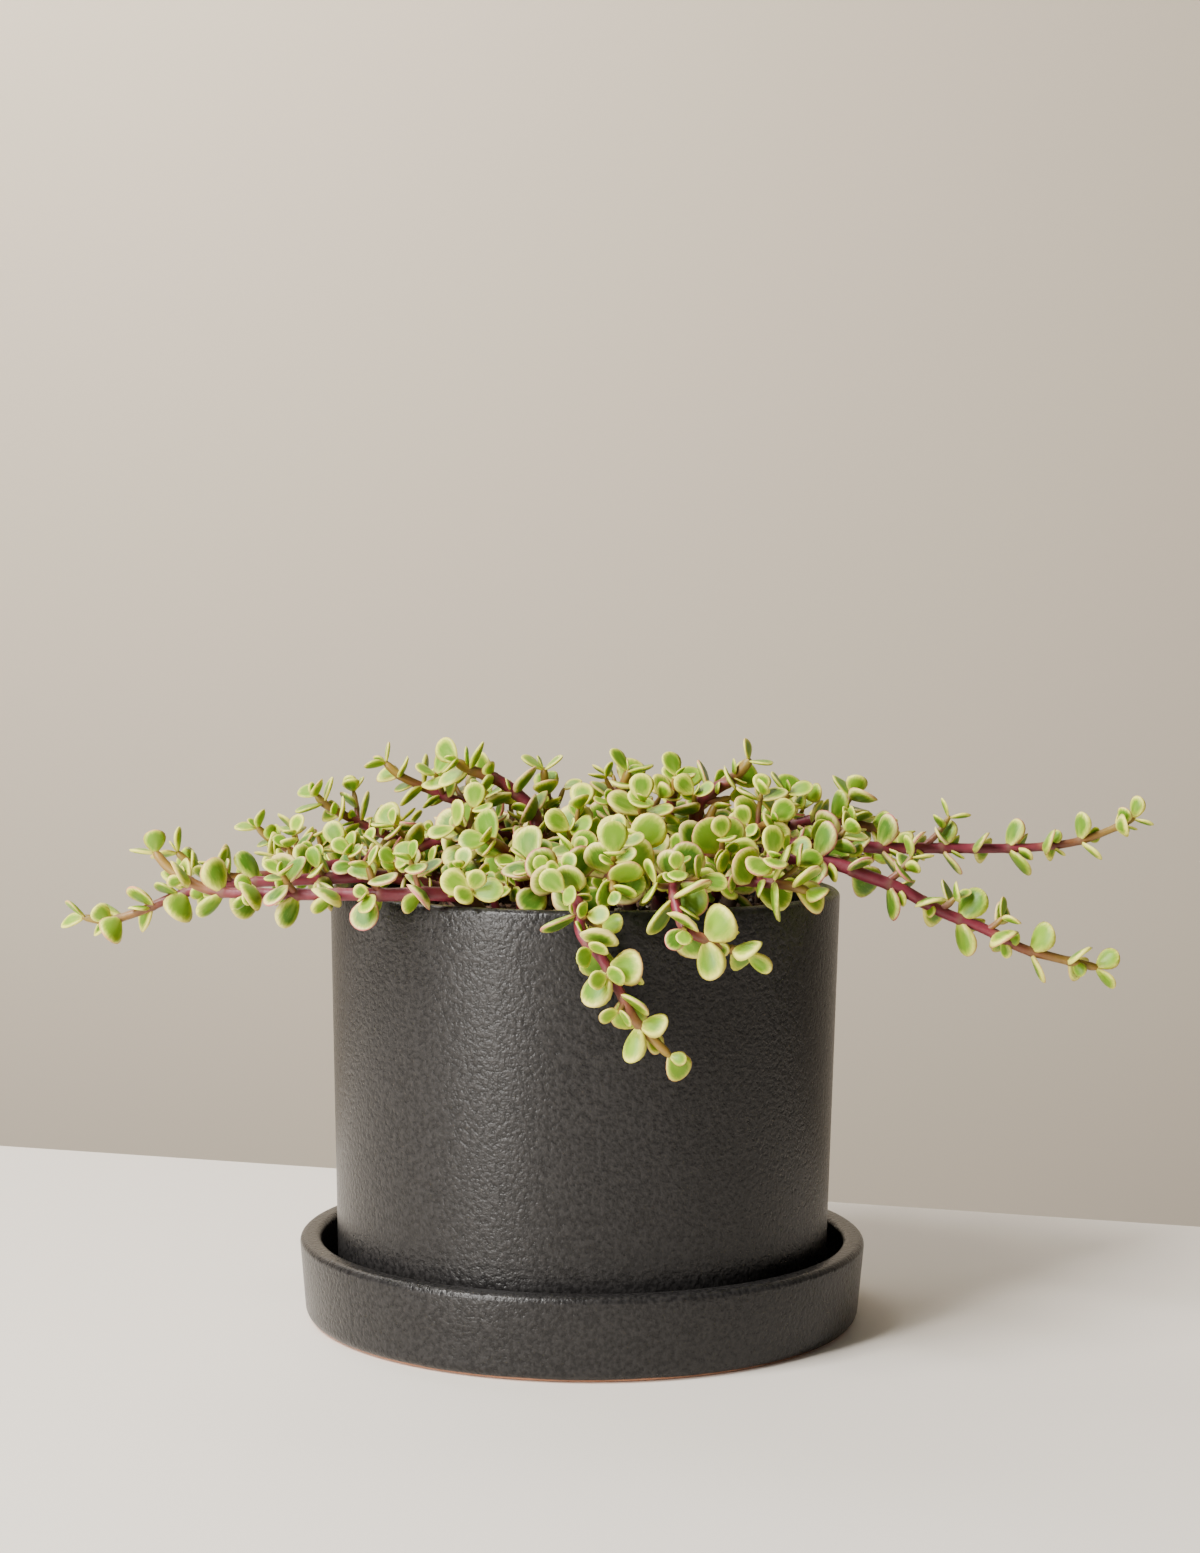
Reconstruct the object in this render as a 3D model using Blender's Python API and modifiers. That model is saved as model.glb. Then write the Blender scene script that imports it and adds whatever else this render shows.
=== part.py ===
"""Variegated elephant bush in a charcoal cylinder pot that stands on its saucer.

Frame: the origin is the middle of the saucer's underside, +Z is up and -Y is the front.
Lengths in this file are millimetres times MM, so that Blender gets metres.
"""

import math
import random

import bmesh
import bpy
import numpy as np

MM = 0.001

# Driving dimensions of the holder, in millimetres
SAUCER_RIM_RADIUS = 91.8
SAUCER_BASE_RADIUS = 90.0
SAUCER_HEIGHT = 26.4
SAUCER_WALL = 7.0
SAUCER_FLOOR = 6.0
POT_RIM_RADIUS = 82.5
POT_BASE_RADIUS = 79.3
POT_WALL = 5.5
POT_FLOOR = 8.0
POT_RIM_HEIGHT = 139.4
POT_FOOT_RADIUS = 72.0
POT_FOOT_HEIGHT = 1.4
POT_FOOT_BEVEL = 1.0
DRAIN_RADIUS = 7.0
EDGE_ROUND = 2.2
SAUCER_FOOT_ROUND = 4.0
SEAT_GAP = 0.3
TURNED_STEPS = 36

# Driving dimensions of the soil
SOIL_EDGE_DROP = 9.0
SOIL_MOUND = 3.0
SOIL_STEPS = 20
SOIL_RINGS = (0.0, 40.0, 64.0)
HOLE_DEPTH = 13.0
HOLE_OVER = 6.0
HOLE_SIDES = 5

# Driving dimensions of a leaf, as shares of its length
LEAF_WIDTH_SHARE = (0.76, 0.96)
LEAF_THICK_SHARE = 0.18
LEAF_OUTLINE = ((0.46, 0.48), (0.86, 0.41))
LEAF_CUP = 0.08
LEAF_CREST = 0.55
LEAF_UPPER_SHARE = 0.35

# How a leaf turns to the light: shares and degrees, and where the front half ends
LIGHT_SHARE = 0.6
LIGHT_TWIST = 58.0
LIGHT_TIP_SHARE = 0.3
LIGHT_TIP = 20.0
LIGHT_OUTWARD = 0.5
LIGHT_FRONT = 1.1
LIGHT_FRONT_END = 45.0

# Old wood deep in the pot carries no leaves
BARE_BELOW = 143.0

# How a stem's middle line is drawn: steps along it, and the bend in degrees that a tube follows
LINE_STEP = 1.0
TUBE_STEP = 18.0
BEND_STEP = 21.0
SHOOT_THICK_SHARE = 0.62
SHOOT_TAPER = 0.8
SHOOT_RISE = 0.35

# The crossing tests: the gaps that stay, and a blade as the tests take it, by shares of its length
CLEAR_OF_LEAF = 0.35
CLEAR_OF_STEM = 0.6
CLEAR_OF_POT = 0.9
BARE_FOOT = 1.2
BLADE_WIDEST = 0.58
BLADE_END = 0.45
BLADE_FOOT = 0.16
TEST_ROWS = 5
NEAR_LEAF = 32.0
NEAR_STEM = 3.0
MOST_LEAVES = 2400

POT_BASE_HEIGHT = SAUCER_FLOOR + SEAT_GAP
UP = np.array((0.0, 0.0, 1.0))
FRONT = np.array((0.0, -1.0, 0.0))

# Each stem: the place of its root in the soil, the points that it passes through above it, its
# thickness at the root and the tip, the distance between leaf pairs at the root and the tip, the
# leaves' length at the root, at mid length and at the tip, where the first pair stands, and the
# turn of that pair about the stem in degrees. A side shoot is given by its place along the stem
# as a share, its turn, its lean from the stem in degrees, and its length.
STEMS = {
    "stem_front_hanging": {
        "root": (-14, -46),
        "route": ((-12, -58, 144), (-6, -74, 147), (-2, -87, 142), (-1, -93, 134), (5, -95, 127),
                  (10, -95, 118), (15, -96, 109), (21, -97, 103), (25, -97, 99)),
        "thick": (4.6, 2.6), "gap": (9.5, 9.5), "leaf": (12.5, 13.0, 11.5), "first": 16, "turn": 60,
        "shoots": ((0.50, 100, 55, 9),),
    },
    "stem_front_rosette": {
        "root": (7, -44),
        "route": ((7, -56, 145), (8, -70, 150), (8, -80, 149), (8, -88, 146)),
        "thick": (4.2, 3.0), "gap": (8.5, 6.5), "leaf": (13.0, 14.0, 12.0), "first": 15, "turn": 45,
    },
    "stem_front_right": {
        "root": (22, -44),
        "route": ((24, -58, 144), (27, -73, 148), (26, -86, 145), (29, -93, 136), (36, -94, 132.5),
                  (42, -93, 130), (48, -92, 129)),
        "thick": (4.4, 2.6), "gap": (9.0, 8.5), "leaf": (12.5, 13.0, 11.5), "first": 15, "turn": 30,
    },
    "stem_right_front": {
        "root": (38, -40),
        "route": ((41, -53, 144), (47, -62, 147), (55, -68, 147), (61, -70, 146.5), (67, -71, 145)),
        "thick": (4.4, 2.8), "gap": (7.5, 6.5), "leaf": (12.5, 14.0, 12.5), "first": 13, "turn": 40,
    },
    "stem_left_low": {
        "root": (-30, -57),
        "route": ((-36, -64, 141), (-45, -69, 143), (-58, -68, 142.6), (-75, -66, 142.3), (-88, -64, 142),
                  (-98, -62, 142), (-113, -60, 142.5), (-125, -58, 148), (-131, -57, 154)),
        "thick": (4.8, 2.8), "gap": (14.0, 10.0), "leaf": (12.5, 12.5, 10.5), "first": 14, "turn": 0,
        "shoots": ((0.36, 20, 70, 10), (0.58, 40, 65, 9)),
    },
    "stem_left_far": {
        "root": (-38, -22),
        "route": ((-50, -30, 142), (-64, -35, 145), (-80, -38, 144.5), (-92, -40, 144), (-107, -40, 143),
                  (-120, -40, 141), (-129, -40, 138), (-138, -40, 134), (-148, -40, 131), (-156, -40, 132)),
        "thick": (4.6, 2.4), "gap": (12.0, 10.5), "leaf": (11.5, 12.0, 10.5), "first": 14, "turn": 45,
        "shoots": ((0.62, 10, 60, 7),),
    },
    "stem_left_arch": {
        "root": (6, 11),
        "route": ((-2, 10, 147), (-14, 8, 154), (-28, 5, 155), (-45, 4, 154), (-56, 2, 151), (-66, -2, 148),
                  (-82, -7, 146), (-95, -11, 144), (-104, -14, 143), (-115, -17, 143), (-124, -19, 146),
                  (-130, -20, 151)),
        "thick": (5.2, 2.4), "gap": (11.5, 10.0), "leaf": (11.0, 12.0, 10.5), "first": 26, "turn": 20,
        "shoots": ((0.30, 0, 60, 9), (0.72, 15, 60, 10)),
    },
    "stem_left_rise": {
        "root": (-37, 18),
        "route": ((-50, 17, 141), (-68, 15, 144), (-84, 13, 144), (-95, 12, 148), (-104, 11, 153),
                  (-108, 10, 157)),
        "thick": (4.2, 2.4), "gap": (8.5, 7.5), "leaf": (11.0, 11.5, 9.5), "first": 12, "turn": 10,
        "shoots": ((0.45, 30, 60, 9),),
    },
    "stem_left_back": {
        "root": (-36, 36),
        "route": ((-50, 33, 142), (-63, 29, 151), (-75, 26, 157), (-86, 23, 163), (-90, 22, 167)),
        "thick": (4.4, 2.5), "gap": (7.5, 7.0), "leaf": (11.5, 12.0, 9.5), "first": 12, "turn": 50,
        "shoots": ((0.5, 350, 60, 8),),
    },
    "stem_left_top": {
        "root": (-12, 32),
        "route": ((-19, 30, 149), (-32, 27, 160), (-48, 24, 167), (-61, 21, 173), (-67, 20, 178)),
        "thick": (4.8, 2.6), "gap": (9.0, 8.5), "leaf": (11.5, 12.0, 9.5), "first": 16, "turn": 70,
    },
    "stem_crest_left": {
        "root": (-11, -8),
        "route": ((-14, -6, 151), (-17, -4, 163), (-22, -4, 169), (-29, -5, 174), (-37, -7, 177),
                  (-42, -10, 180)),
        "thick": (5.4, 3.2), "gap": (10.0, 7.5), "leaf": (11.5, 12.0, 11.0), "first": 20, "turn": 30,
        "shoots": ((0.36, 190, 60, 8),),
    },
    "stem_trunk_right": {
        "root": (38, 2),
        "route": ((38, 3, 150), (36, 4, 160), (37, 4, 167), (42, 3, 171), (48, 1, 175), (53, -2, 181)),
        "thick": (6.4, 3.4), "gap": (9.0, 7.0), "leaf": (11.0, 11.5, 10.0), "first": 22, "turn": 20,
        "shoots": ((0.42, 200, 55, 12), (0.62, 160, 60, 10)),
    },
    "stem_right_low": {
        "root": (45, -17),
        "route": ((55, -19, 147), (67, -22, 151), (80, -25, 149), (88, -27, 146), (99, -29, 142),
                  (112, -31, 135), (125, -32, 130), (137, -33, 124), (148, -33, 121), (161, -33, 118)),
        "thick": (5.2, 2.6), "gap": (12.0, 12.5), "leaf": (12.0, 12.5, 10.5), "first": 14, "turn": 15,
        "shoots": ((0.46, 5, 60, 12), (0.60, 350, 60, 7), (0.72, 340, 60, 7)),
    },
    "stem_right_high": {
        "root": (50, 5),
        "route": ((61, 6, 149), (76, 7, 154), (95, 8, 152), (117, 8, 152), (131, 8, 152), (147, 8, 152.5),
                  (161, 8, 154.5), (172, 8, 158.5), (180, 8, 162.5)),
        "thick": (5.0, 2.2), "gap": (8.0, 13.5), "leaf": (11.5, 11.5, 9.5), "first": 14, "turn": 80,
        "shoots": ((0.50, 350, 45, 14), (0.30, 10, 60, 8)),
    },
    "stem_right_back": {
        "root": (52, 28),
        "route": ((60, 27, 150), (69, 26, 158), (81, 24, 160), (93, 22, 158), (104, 20, 155)),
        "thick": (4.8, 2.8), "gap": (6.5, 6.5), "leaf": (12.0, 12.5, 9.5), "first": 14, "turn": 85,
    },
    "stem_middle_front": {
        "root": (-2, -27),
        "route": ((-3, -30, 146), (-4, -34, 156), (-5, -40, 161)),
        "thick": (4.2, 2.8), "gap": (7.5, 6.0), "leaf": (12.0, 13.0, 11.5), "first": 10, "turn": 10,
    },
    "stem_middle_low": {
        "root": (14, -28),
        "route": ((14, -36, 144), (14, -46, 153), (14, -54, 156), (14, -60, 156)),
        "thick": (4.2, 2.8), "gap": (7.0, 6.0), "leaf": (13.0, 14.0, 12.5), "first": 10, "turn": 45,
    },
    "stem_inner_right": {
        "root": (29, -22),
        "route": ((32, -32, 146), (37, -43, 153), (41, -53, 155), (44, -60, 154)),
        "thick": (4.2, 2.8), "gap": (7.0, 6.0), "leaf": (13.0, 13.5, 12.0), "first": 10, "turn": 40,
    },
    "stem_peak_left": {
        "root": (-8, 14),
        "route": ((-10, 15, 155), (-13, 14, 167), (-14, 11, 177)),
        "thick": (4.0, 2.6), "gap": (8.0, 7.0), "leaf": (11.5, 12.5, 10.5), "first": 12, "turn": 20,
    },
    "stem_hump_left": {
        "root": (8, 30),
        "route": ((9, 30, 150), (11, 27, 165), (14, 22, 176)),
        "thick": (4.6, 3.0), "gap": (7.0, 6.5), "leaf": (12.5, 13.0, 11.5), "first": 12, "turn": 35,
    },
    "stem_hump_right": {
        "root": (26, 26),
        "route": ((26, 26, 148), (28, 20, 164), (30, 13, 175)),
        "thick": (4.6, 3.0), "gap": (7.0, 6.5), "leaf": (12.5, 13.0, 11.5), "first": 12, "turn": 70,
    },
    "stem_middle_top": {
        "root": (18, 2),
        "route": ((18, 0, 148), (18, -6, 160), (18, -12, 168)),
        "thick": (4.4, 2.8), "gap": (7.0, 6.5), "leaf": (12.5, 13.0, 11.5), "first": 12, "turn": 10,
    },
    "stem_shoulder_right": {
        "root": (58, 14),
        "route": ((60, 14, 150), (63, 12, 162), (66, 8, 170)),
        "thick": (4.2, 2.8), "gap": (6.5, 6.0), "leaf": (12.5, 13.0, 11.0), "first": 12, "turn": 60,
    },
    "shoot_left_rim": {
        "root": (-26, -58),
        "route": ((-27, -60, 138), (-29, -62, 144)),
        "thick": (2.8, 2.2), "gap": (6.0, 5.5), "leaf": (10.0, 10.5, 8.0), "first": 5, "turn": 70,
    },
    "shoot_left_inner": {
        "root": (-20, -36),
        "route": ((-20, -39, 141), (-22, -43, 150)),
        "thick": (3.4, 2.4), "gap": (7.0, 6.0), "leaf": (10.5, 11.0, 8.5), "first": 8, "turn": 30,
    },
    "shoot_left_side": {
        "root": (-42, -14),
        "route": ((-47, -5, 142), (-52, 1, 141)),
        "thick": (3.2, 2.4), "gap": (7.0, 6.0), "leaf": (10.5, 11.0, 8.5), "first": 8, "turn": 40,
    },
    "stem_left_mass": {
        "root": (-26, 2),
        "route": ((-30, -4, 146), (-36, -12, 155), (-42, -20, 160)),
        "thick": (4.2, 2.8), "gap": (7.0, 6.5), "leaf": (12.5, 13.0, 11.5), "first": 11, "turn": 25,
    },
    "stem_left_fold": {
        "root": (-16, -20),
        "route": ((-20, -25, 146), (-26, -31, 154), (-31, -36, 157)),
        "thick": (4.0, 2.8), "gap": (7.0, 6.5), "leaf": (12.0, 12.5, 11.0), "first": 10, "turn": 60,
    },
    "stem_right_mass": {
        "root": (46, -2),
        "route": ((49, -8, 148), (54, -16, 158), (59, -23, 163)),
        "thick": (4.2, 2.8), "gap": (7.0, 6.5), "leaf": (12.5, 13.0, 11.5), "first": 11, "turn": 70,
    },
    "stem_back_left": {
        "root": (-46, 44),
        "route": ((-58, 54, 144), (-70, 64, 145), (-84, 74, 140), (-98, 82, 137), (-109, 87, 139)),
        "thick": (4.6, 2.5), "gap": (10.5, 10.0), "leaf": (11.5, 12.0, 9.0), "first": 12, "turn": 30,
        "shoots": ((0.5, 350, 60, 9),),
    },
    "stem_back_hanging": {
        "root": (-20, 54),
        "route": ((-24, 68, 146), (-27, 82, 145), (-28, 92, 136), (-29, 95, 124), (-32, 96, 112),
                  (-36, 97, 103)),
        "thick": (4.6, 2.5), "gap": (10.0, 10.0), "leaf": (11.5, 12.0, 8.5), "first": 12, "turn": 50,
        "shoots": ((0.45, 80, 60, 8),),
    },
    "stem_back_middle": {
        "root": (6, 52),
        "route": ((8, 64, 150), (10, 78, 153), (13, 92, 150), (18, 104, 146)),
        "thick": (4.6, 2.6), "gap": (7.5, 7.5), "leaf": (11.5, 12.5, 9.5), "first": 12, "turn": 20,
    },
    "stem_back_right": {
        "root": (32, 50),
        "route": ((40, 62, 147), (49, 75, 148), (60, 88, 143), (72, 99, 140), (82, 107, 142)),
        "thick": (4.6, 2.5), "gap": (10.5, 10.0), "leaf": (11.5, 12.0, 9.0), "first": 12, "turn": 70,
        "shoots": ((0.5, 10, 60, 9),),
    },
    "stem_back_side": {
        "root": (60, 38),
        "route": ((70, 46, 146), (80, 53, 147), (92, 60, 144), (104, 66, 145)),
        "thick": (4.2, 2.6), "gap": (9.0, 9.0), "leaf": (11.5, 12.0, 9.0), "first": 11, "turn": 25,
    },
    "shoot_back_inner": {
        "root": (-24, 12),
        "route": ((-28, 18, 146), (-32, 16, 152)),
        "thick": (3.4, 2.4), "gap": (7.0, 6.0), "leaf": (11.0, 11.5, 9.0), "first": 9, "turn": 30,
    },
}


def unit(vector):
    return vector / np.linalg.norm(vector)


def between(start, end, share):
    return start + (end - start) * share


def rotated(vector, axis, angle):
    """The vector turned about a unit axis, by an angle in radians."""
    cos, sin = math.cos(angle), math.sin(angle)
    return vector * cos + np.cross(axis, vector) * sin + axis * (axis @ vector) * (1 - cos)


def soil_top(radius):
    """Height of the soil: level with the rim less a drop, with a low mound in the middle."""
    share = min(1.0, radius / pot_inner_radius(POT_RIM_HEIGHT))
    return POT_RIM_HEIGHT - SOIL_EDGE_DROP + SOIL_MOUND * (1 - share * share)


def pot_outer_radius(height):
    share = (height - POT_BASE_HEIGHT) / (POT_RIM_HEIGHT - POT_BASE_HEIGHT)
    return between(POT_BASE_RADIUS, POT_RIM_RADIUS, share)


def pot_inner_radius(height):
    return pot_outer_radius(height) - POT_WALL


def to_light(place):
    """The direction that leaves at a place turn to: up, outwards and, on the front half, to the front."""
    away = place * (1, 1, 0) / POT_RIM_RADIUS
    front = max(0.0, min(1.0, (LIGHT_FRONT_END - place[1]) / LIGHT_FRONT_END))
    return unit(UP + away / max(1.0, np.linalg.norm(away)) * LIGHT_OUTWARD + FRONT * LIGHT_FRONT * front)


class Line:
    """A stem's middle line: a smooth curve through its route, straight up where it leaves the soil."""

    def __init__(self, start, route, first_way):
        points = [np.array(start, float)] + [np.array(p, float) for p in route]
        ways = [unit(first_way) * np.linalg.norm(points[1] - points[0])]
        for before, after in zip(points[:-2], points[2:]):
            ways.append((after - before) / 2)
        ways.append(points[-1] - points[-2])
        dense = []
        for i in range(len(points) - 1):
            count = max(3, int(np.linalg.norm(points[i + 1] - points[i]) / LINE_STEP))
            for k in range(count):
                dense.append(self.hermite(points[i], points[i + 1], ways[i], ways[i + 1], k / count))
        dense.append(points[-1])
        self.points = np.array(dense)
        steps = np.linalg.norm(np.diff(self.points, axis=0), axis=1)
        self.reach = np.concatenate([[0], np.cumsum(steps)])
        self.length = float(self.reach[-1])
        heading = (self.points[-1] - self.points[0]) * (1, 1, 0)
        flat = np.linalg.norm(heading) > 4
        self.side = unit(np.cross(UP, heading)) if flat else np.array((0.0, 1.0, 0.0))

    @staticmethod
    def hermite(a, b, way_a, way_b, t):
        t2, t3 = t * t, t * t * t
        from_a = (2 * t3 - 3 * t2 + 1) * a + (t3 - 2 * t2 + t) * way_a
        return from_a + (3 * t2 - 2 * t3) * b + (t3 - t2) * way_b

    def point(self, distance):
        return np.array([np.interp(distance, self.reach, self.points[:, i]) for i in range(3)])

    def at(self, distance):
        """The point and the direction at a distance along the line."""
        before, after = max(0, distance - 1.5), min(self.length, distance + 1.5)
        return self.point(distance), unit(self.point(after) - self.point(before))

    def bends(self):
        """Distances along the line that follow it closely: near together where it bends."""
        found = [0.0]
        last = self.at(0)[1]
        for distance in np.arange(LINE_STEP, self.length - LINE_STEP, LINE_STEP):
            way = self.at(distance)[1]
            if way @ last < math.cos(math.radians(BEND_STEP)) or distance - found[-1] > TUBE_STEP:
                found.append(float(distance))
                last = way
        return found + [self.length]

    def outward(self, way, turn):
        """The direction square to the stem that a leaf or shoot leaves in: turn 0 is its upper side."""
        side = unit(self.side - way * np.dot(self.side, way))
        top = np.cross(way, side)
        return math.cos(math.radians(turn)) * top + math.sin(math.radians(turn)) * side


class Leaf:
    """One leaf: where it is rooted, its axes (along, across, upper face) and its sizes."""

    def __init__(self, line, distance, turn, lean, length, width_share, twist, radius, age):
        self.root, way = line.at(distance)
        out = line.outward(way, turn)
        lean, self.age = math.radians(lean), age
        along = math.cos(lean) * way + math.sin(lean) * out
        face = math.sin(lean) * way - math.cos(lean) * out
        # The leaf twists towards the light and then tips to it
        light = to_light(self.root)
        seen = math.degrees(math.atan2(np.cross(face, along) @ light, face @ light))
        turned = max(-LIGHT_TWIST, min(LIGHT_TWIST, LIGHT_SHARE * seen))
        face = rotated(face, along, math.radians(turned + twist))
        apart = math.degrees(math.acos(max(-1.0, min(1.0, float(face @ light)))))
        axis = np.cross(face, light)
        if np.linalg.norm(axis) > 0.1:
            tipped = math.radians(min(LIGHT_TIP, LIGHT_TIP_SHARE * apart))
            along, face = rotated(along, unit(axis), tipped), rotated(face, unit(axis), tipped)
        across = np.cross(face, along)
        self.axes = np.array([along, across, face])
        self.length, self.width = length, length * width_share
        self.thick = LEAF_THICK_SHARE * length
        self.bare = radius + BARE_FOOT

    def samples(self):
        """Points spread over the blade, clear of its root, for the crossing tests."""
        start = max(self.bare / self.length, 0.22)
        spots = []
        for i in range(TEST_ROWS):
            x = between(start, 1.0, i / (TEST_ROWS - 1))
            if x > BLADE_WIDEST:
                half = 0.5 * math.sqrt(max(0.0, 1 - ((x - BLADE_WIDEST) / 0.5) ** 2))
            else:
                half = between(BLADE_FOOT, 0.5, x / BLADE_WIDEST)
            for y in (-half, -half / 2, 0.0, half / 2, half):
                spots.append((x * self.length, y * self.width, LEAF_CUP * 4 * y * y * self.width))
        return self.root + np.array(spots) @ self.axes


class Bush:
    """All the stems and leaves placed so far, with the tests that keep them clear of each other."""

    def __init__(self):
        self.lines, self.tubes = {}, []
        self.tube_boxes = np.zeros((0, 2, 3))
        self.leaves = []
        self.points = np.zeros((MOST_LEAVES, TEST_ROWS * 5, 3))
        self.roots = np.zeros((MOST_LEAVES, 3))
        self.axes = np.zeros((MOST_LEAVES, 3, 3))
        self.sizes = np.zeros((MOST_LEAVES, 4))

    def add_line(self, name, line, radius):
        """Takes in a stem or one of its shoots, and gives back its name and number."""
        lines = self.lines.setdefault(name, [])
        own = (name, len(lines))
        lines.append((line, radius))
        self.tubes.append((own, line, radius))
        pad = radius + NEAR_STEM
        box = (line.points.min(0) - pad, line.points.max(0) + pad)
        self.tube_boxes = np.concatenate([self.tube_boxes, [box]])
        return own

    def clear_of_pot(self, points, margin):
        for x, y, z in points:
            radius = math.hypot(x, y)
            if z > POT_RIM_HEIGHT + margin or radius > pot_outer_radius(z) + margin:
                continue
            if radius > pot_inner_radius(z) - margin or z < soil_top(radius) + margin:
                return False
        return True

    def clear_of_stems(self, points, own, margin):
        """Whether the points keep the margin from every stem and shoot but their own."""
        lows, highs = self.tube_boxes[:, 0], self.tube_boxes[:, 1]
        reached = (points.min(0) <= highs).all(1) & (points.max(0) >= lows).all(1)
        for index in np.flatnonzero(reached):
            name, line, radius = self.tubes[index]
            gaps = np.linalg.norm(points[:, None] - line.points[None], axis=2)
            if name != own and gaps.min() < radius + margin:
                return False
        return True

    @staticmethod
    def inside(points, roots, axes, sizes, bare, slack):
        """Whether any point lies inside a blade with these axes and sizes, grown by the slack."""
        local = np.einsum("nkj,nij->nki", points - roots[:, None], axes)
        length, width, thick = sizes[:, 0:1], sizes[:, 1:2], sizes[:, 2:3]
        along = local[:, :, 0] - BLADE_WIDEST * length
        x = along / (np.where(along > 0, BLADE_END, BLADE_WIDEST) * length + slack)
        y = local[:, :, 1] / (width / 2 + slack)
        cup = LEAF_CUP * 4 * local[:, :, 1] ** 2 / width
        z = np.abs(local[:, :, 2] - cup) < thick * 0.5 + slack
        return ((x * x + y * y < 1) & z & (local[:, :, 0] > bare)).any()

    def clear_of_leaves(self, leaf, points):
        apart = np.linalg.norm(self.roots[:len(self.leaves)] - leaf.root, axis=1)
        near = np.flatnonzero(apart < NEAR_LEAF)
        if not len(near):
            return True
        roots, axes, sizes = self.roots[near], self.axes[near], self.sizes[near]
        slack = leaf.thick / 2 + CLEAR_OF_LEAF
        spread = np.repeat(points[None], len(roots), axis=0)
        if self.inside(spread, roots, axes, sizes, sizes[:, 3:4], slack):
            return False
        others = self.points[near].reshape(1, -1, 3)
        own = np.array([[leaf.length, leaf.width, leaf.thick]])
        slack = float(sizes[:, 2].max()) / 2 + CLEAR_OF_LEAF
        return not self.inside(others, leaf.root[None], leaf.axes[None], own, leaf.bare, slack)

    def try_leaf(self, leaf, own):
        points = leaf.samples()
        if not self.clear_of_pot(points, CLEAR_OF_POT + leaf.thick / 2):
            return False
        if not self.clear_of_stems(points, own, leaf.thick * 0.6 + CLEAR_OF_STEM):
            return False
        if not self.clear_of_leaves(leaf, points):
            return False
        number = len(self.leaves)
        self.leaves.append((own, leaf))
        self.points[number] = points
        self.roots[number] = leaf.root
        self.axes[number] = leaf.axes
        self.sizes[number] = (leaf.length, leaf.width, leaf.thick, leaf.bare)
        return True


# The ways that a leaf may give to its neighbours: added turn, added lean and share of its size
YIELDS = ((0, 0, 1.0), (16, 0, 1.0), (-16, 0, 1.0), (0, -14, 0.95), (0, 12, 0.95), (32, 0, 0.9),
          (-32, 0, 0.9), (20, -18, 0.85), (-20, -18, 0.85), (0, -30, 0.8), (0, 0, 0.72))


def place_pair(bush, own, line, distance, turn, lean, length, radius, age, chance):
    """One opposite pair of leaves. A leaf that would cross something is turned, or left out."""
    for half in (0, 180):
        share = between(*LEAF_WIDTH_SHARE, chance.random())
        twist, wobble = chance.uniform(-16, 16), chance.uniform(-9, 9)
        size = length * chance.uniform(0.92, 1.06)
        for more_turn, more_lean, scale in YIELDS:
            leaf = Leaf(line, distance, turn + half + wobble + more_turn, lean + more_lean, size * scale,
                        share, twist, radius, age)
            if bush.try_leaf(leaf, own):
                break


def place_leaves(bush, own, line, facts, radius_at, chance):
    """Leaf pairs along one line, each a quarter turn on from the last, and a closed tip."""
    distance, turn = facts["first"], facts["turn"]
    while distance < line.length - 0.5 * facts["gap"][1]:
        age = (distance - facts["first"]) / max(1.0, line.length - facts["first"])
        start, middle, end = facts["leaf"]
        length = between(start, middle, age * 2) if age < 0.5 else between(middle, end, age * 2 - 1)
        lean = between(74, 56, age) + chance.uniform(-7, 7)
        x, y, z = line.at(distance)[0]
        if z > BARE_BELOW or math.hypot(x, y) > POT_RIM_RADIUS:
            place_pair(bush, own, line, distance, turn, lean, length, radius_at(distance), age, chance)
        distance += between(*facts["gap"], age)
        turn += 90 + chance.uniform(-10, 10)
    tip = line.length - 0.6
    place_pair(bush, own, line, tip, turn, 40, facts["leaf"][2] * 0.8, radius_at(line.length), 1, chance)


def side_shoot(main, share, turn, lean, length):
    """The line of a shoot that leaves a stem at a share of its length, and bends up."""
    start, way = main.at(share * main.length)
    lean = math.radians(lean)
    out = math.cos(lean) * way + math.sin(lean) * main.outward(way, turn)
    middle = start + out * length * 0.5
    return Line(start, (middle, middle + unit(out + SHOOT_RISE * UP) * length * 0.5), out)


def grow():
    """Lays out every stem, shoot and leaf of the bush, in millimetres."""
    bush = Bush()
    for name, facts in STEMS.items():
        x, y = facts["root"]
        main = Line((x, y, soil_top(math.hypot(x, y))), facts["route"], UP)
        bush.add_line(name, main, max(facts["thick"]) / 2)
        for share, turn, lean, length in facts.get("shoots", ()):
            thick = between(*facts["thick"], share) * SHOOT_THICK_SHARE
            bush.add_line(name, side_shoot(main, share, turn, lean, length), thick / 2)
    for number, (name, facts) in enumerate(STEMS.items()):
        chance = random.Random(100 + number)
        for index, (line, _) in enumerate(bush.lines[name]):
            if index == 0:
                own_facts, thick = facts, facts["thick"]
            else:
                length = facts["leaf"][1]
                own_facts = {"first": line.length * 0.55, "turn": 90 * index, "gap": (5.0, 5.0),
                             "leaf": (length * 0.85, length * 0.8, length * 0.75)}
                thick = (facts["thick"][1],) * 2
            place_leaves(bush, (name, index), line, own_facts,
                         lambda d, line=line, thick=thick: between(*thick, d / line.length) / 2, chance)
    return bush


def clear_scene():
    for obj in list(bpy.data.objects):
        bpy.data.objects.remove(obj)


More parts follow.
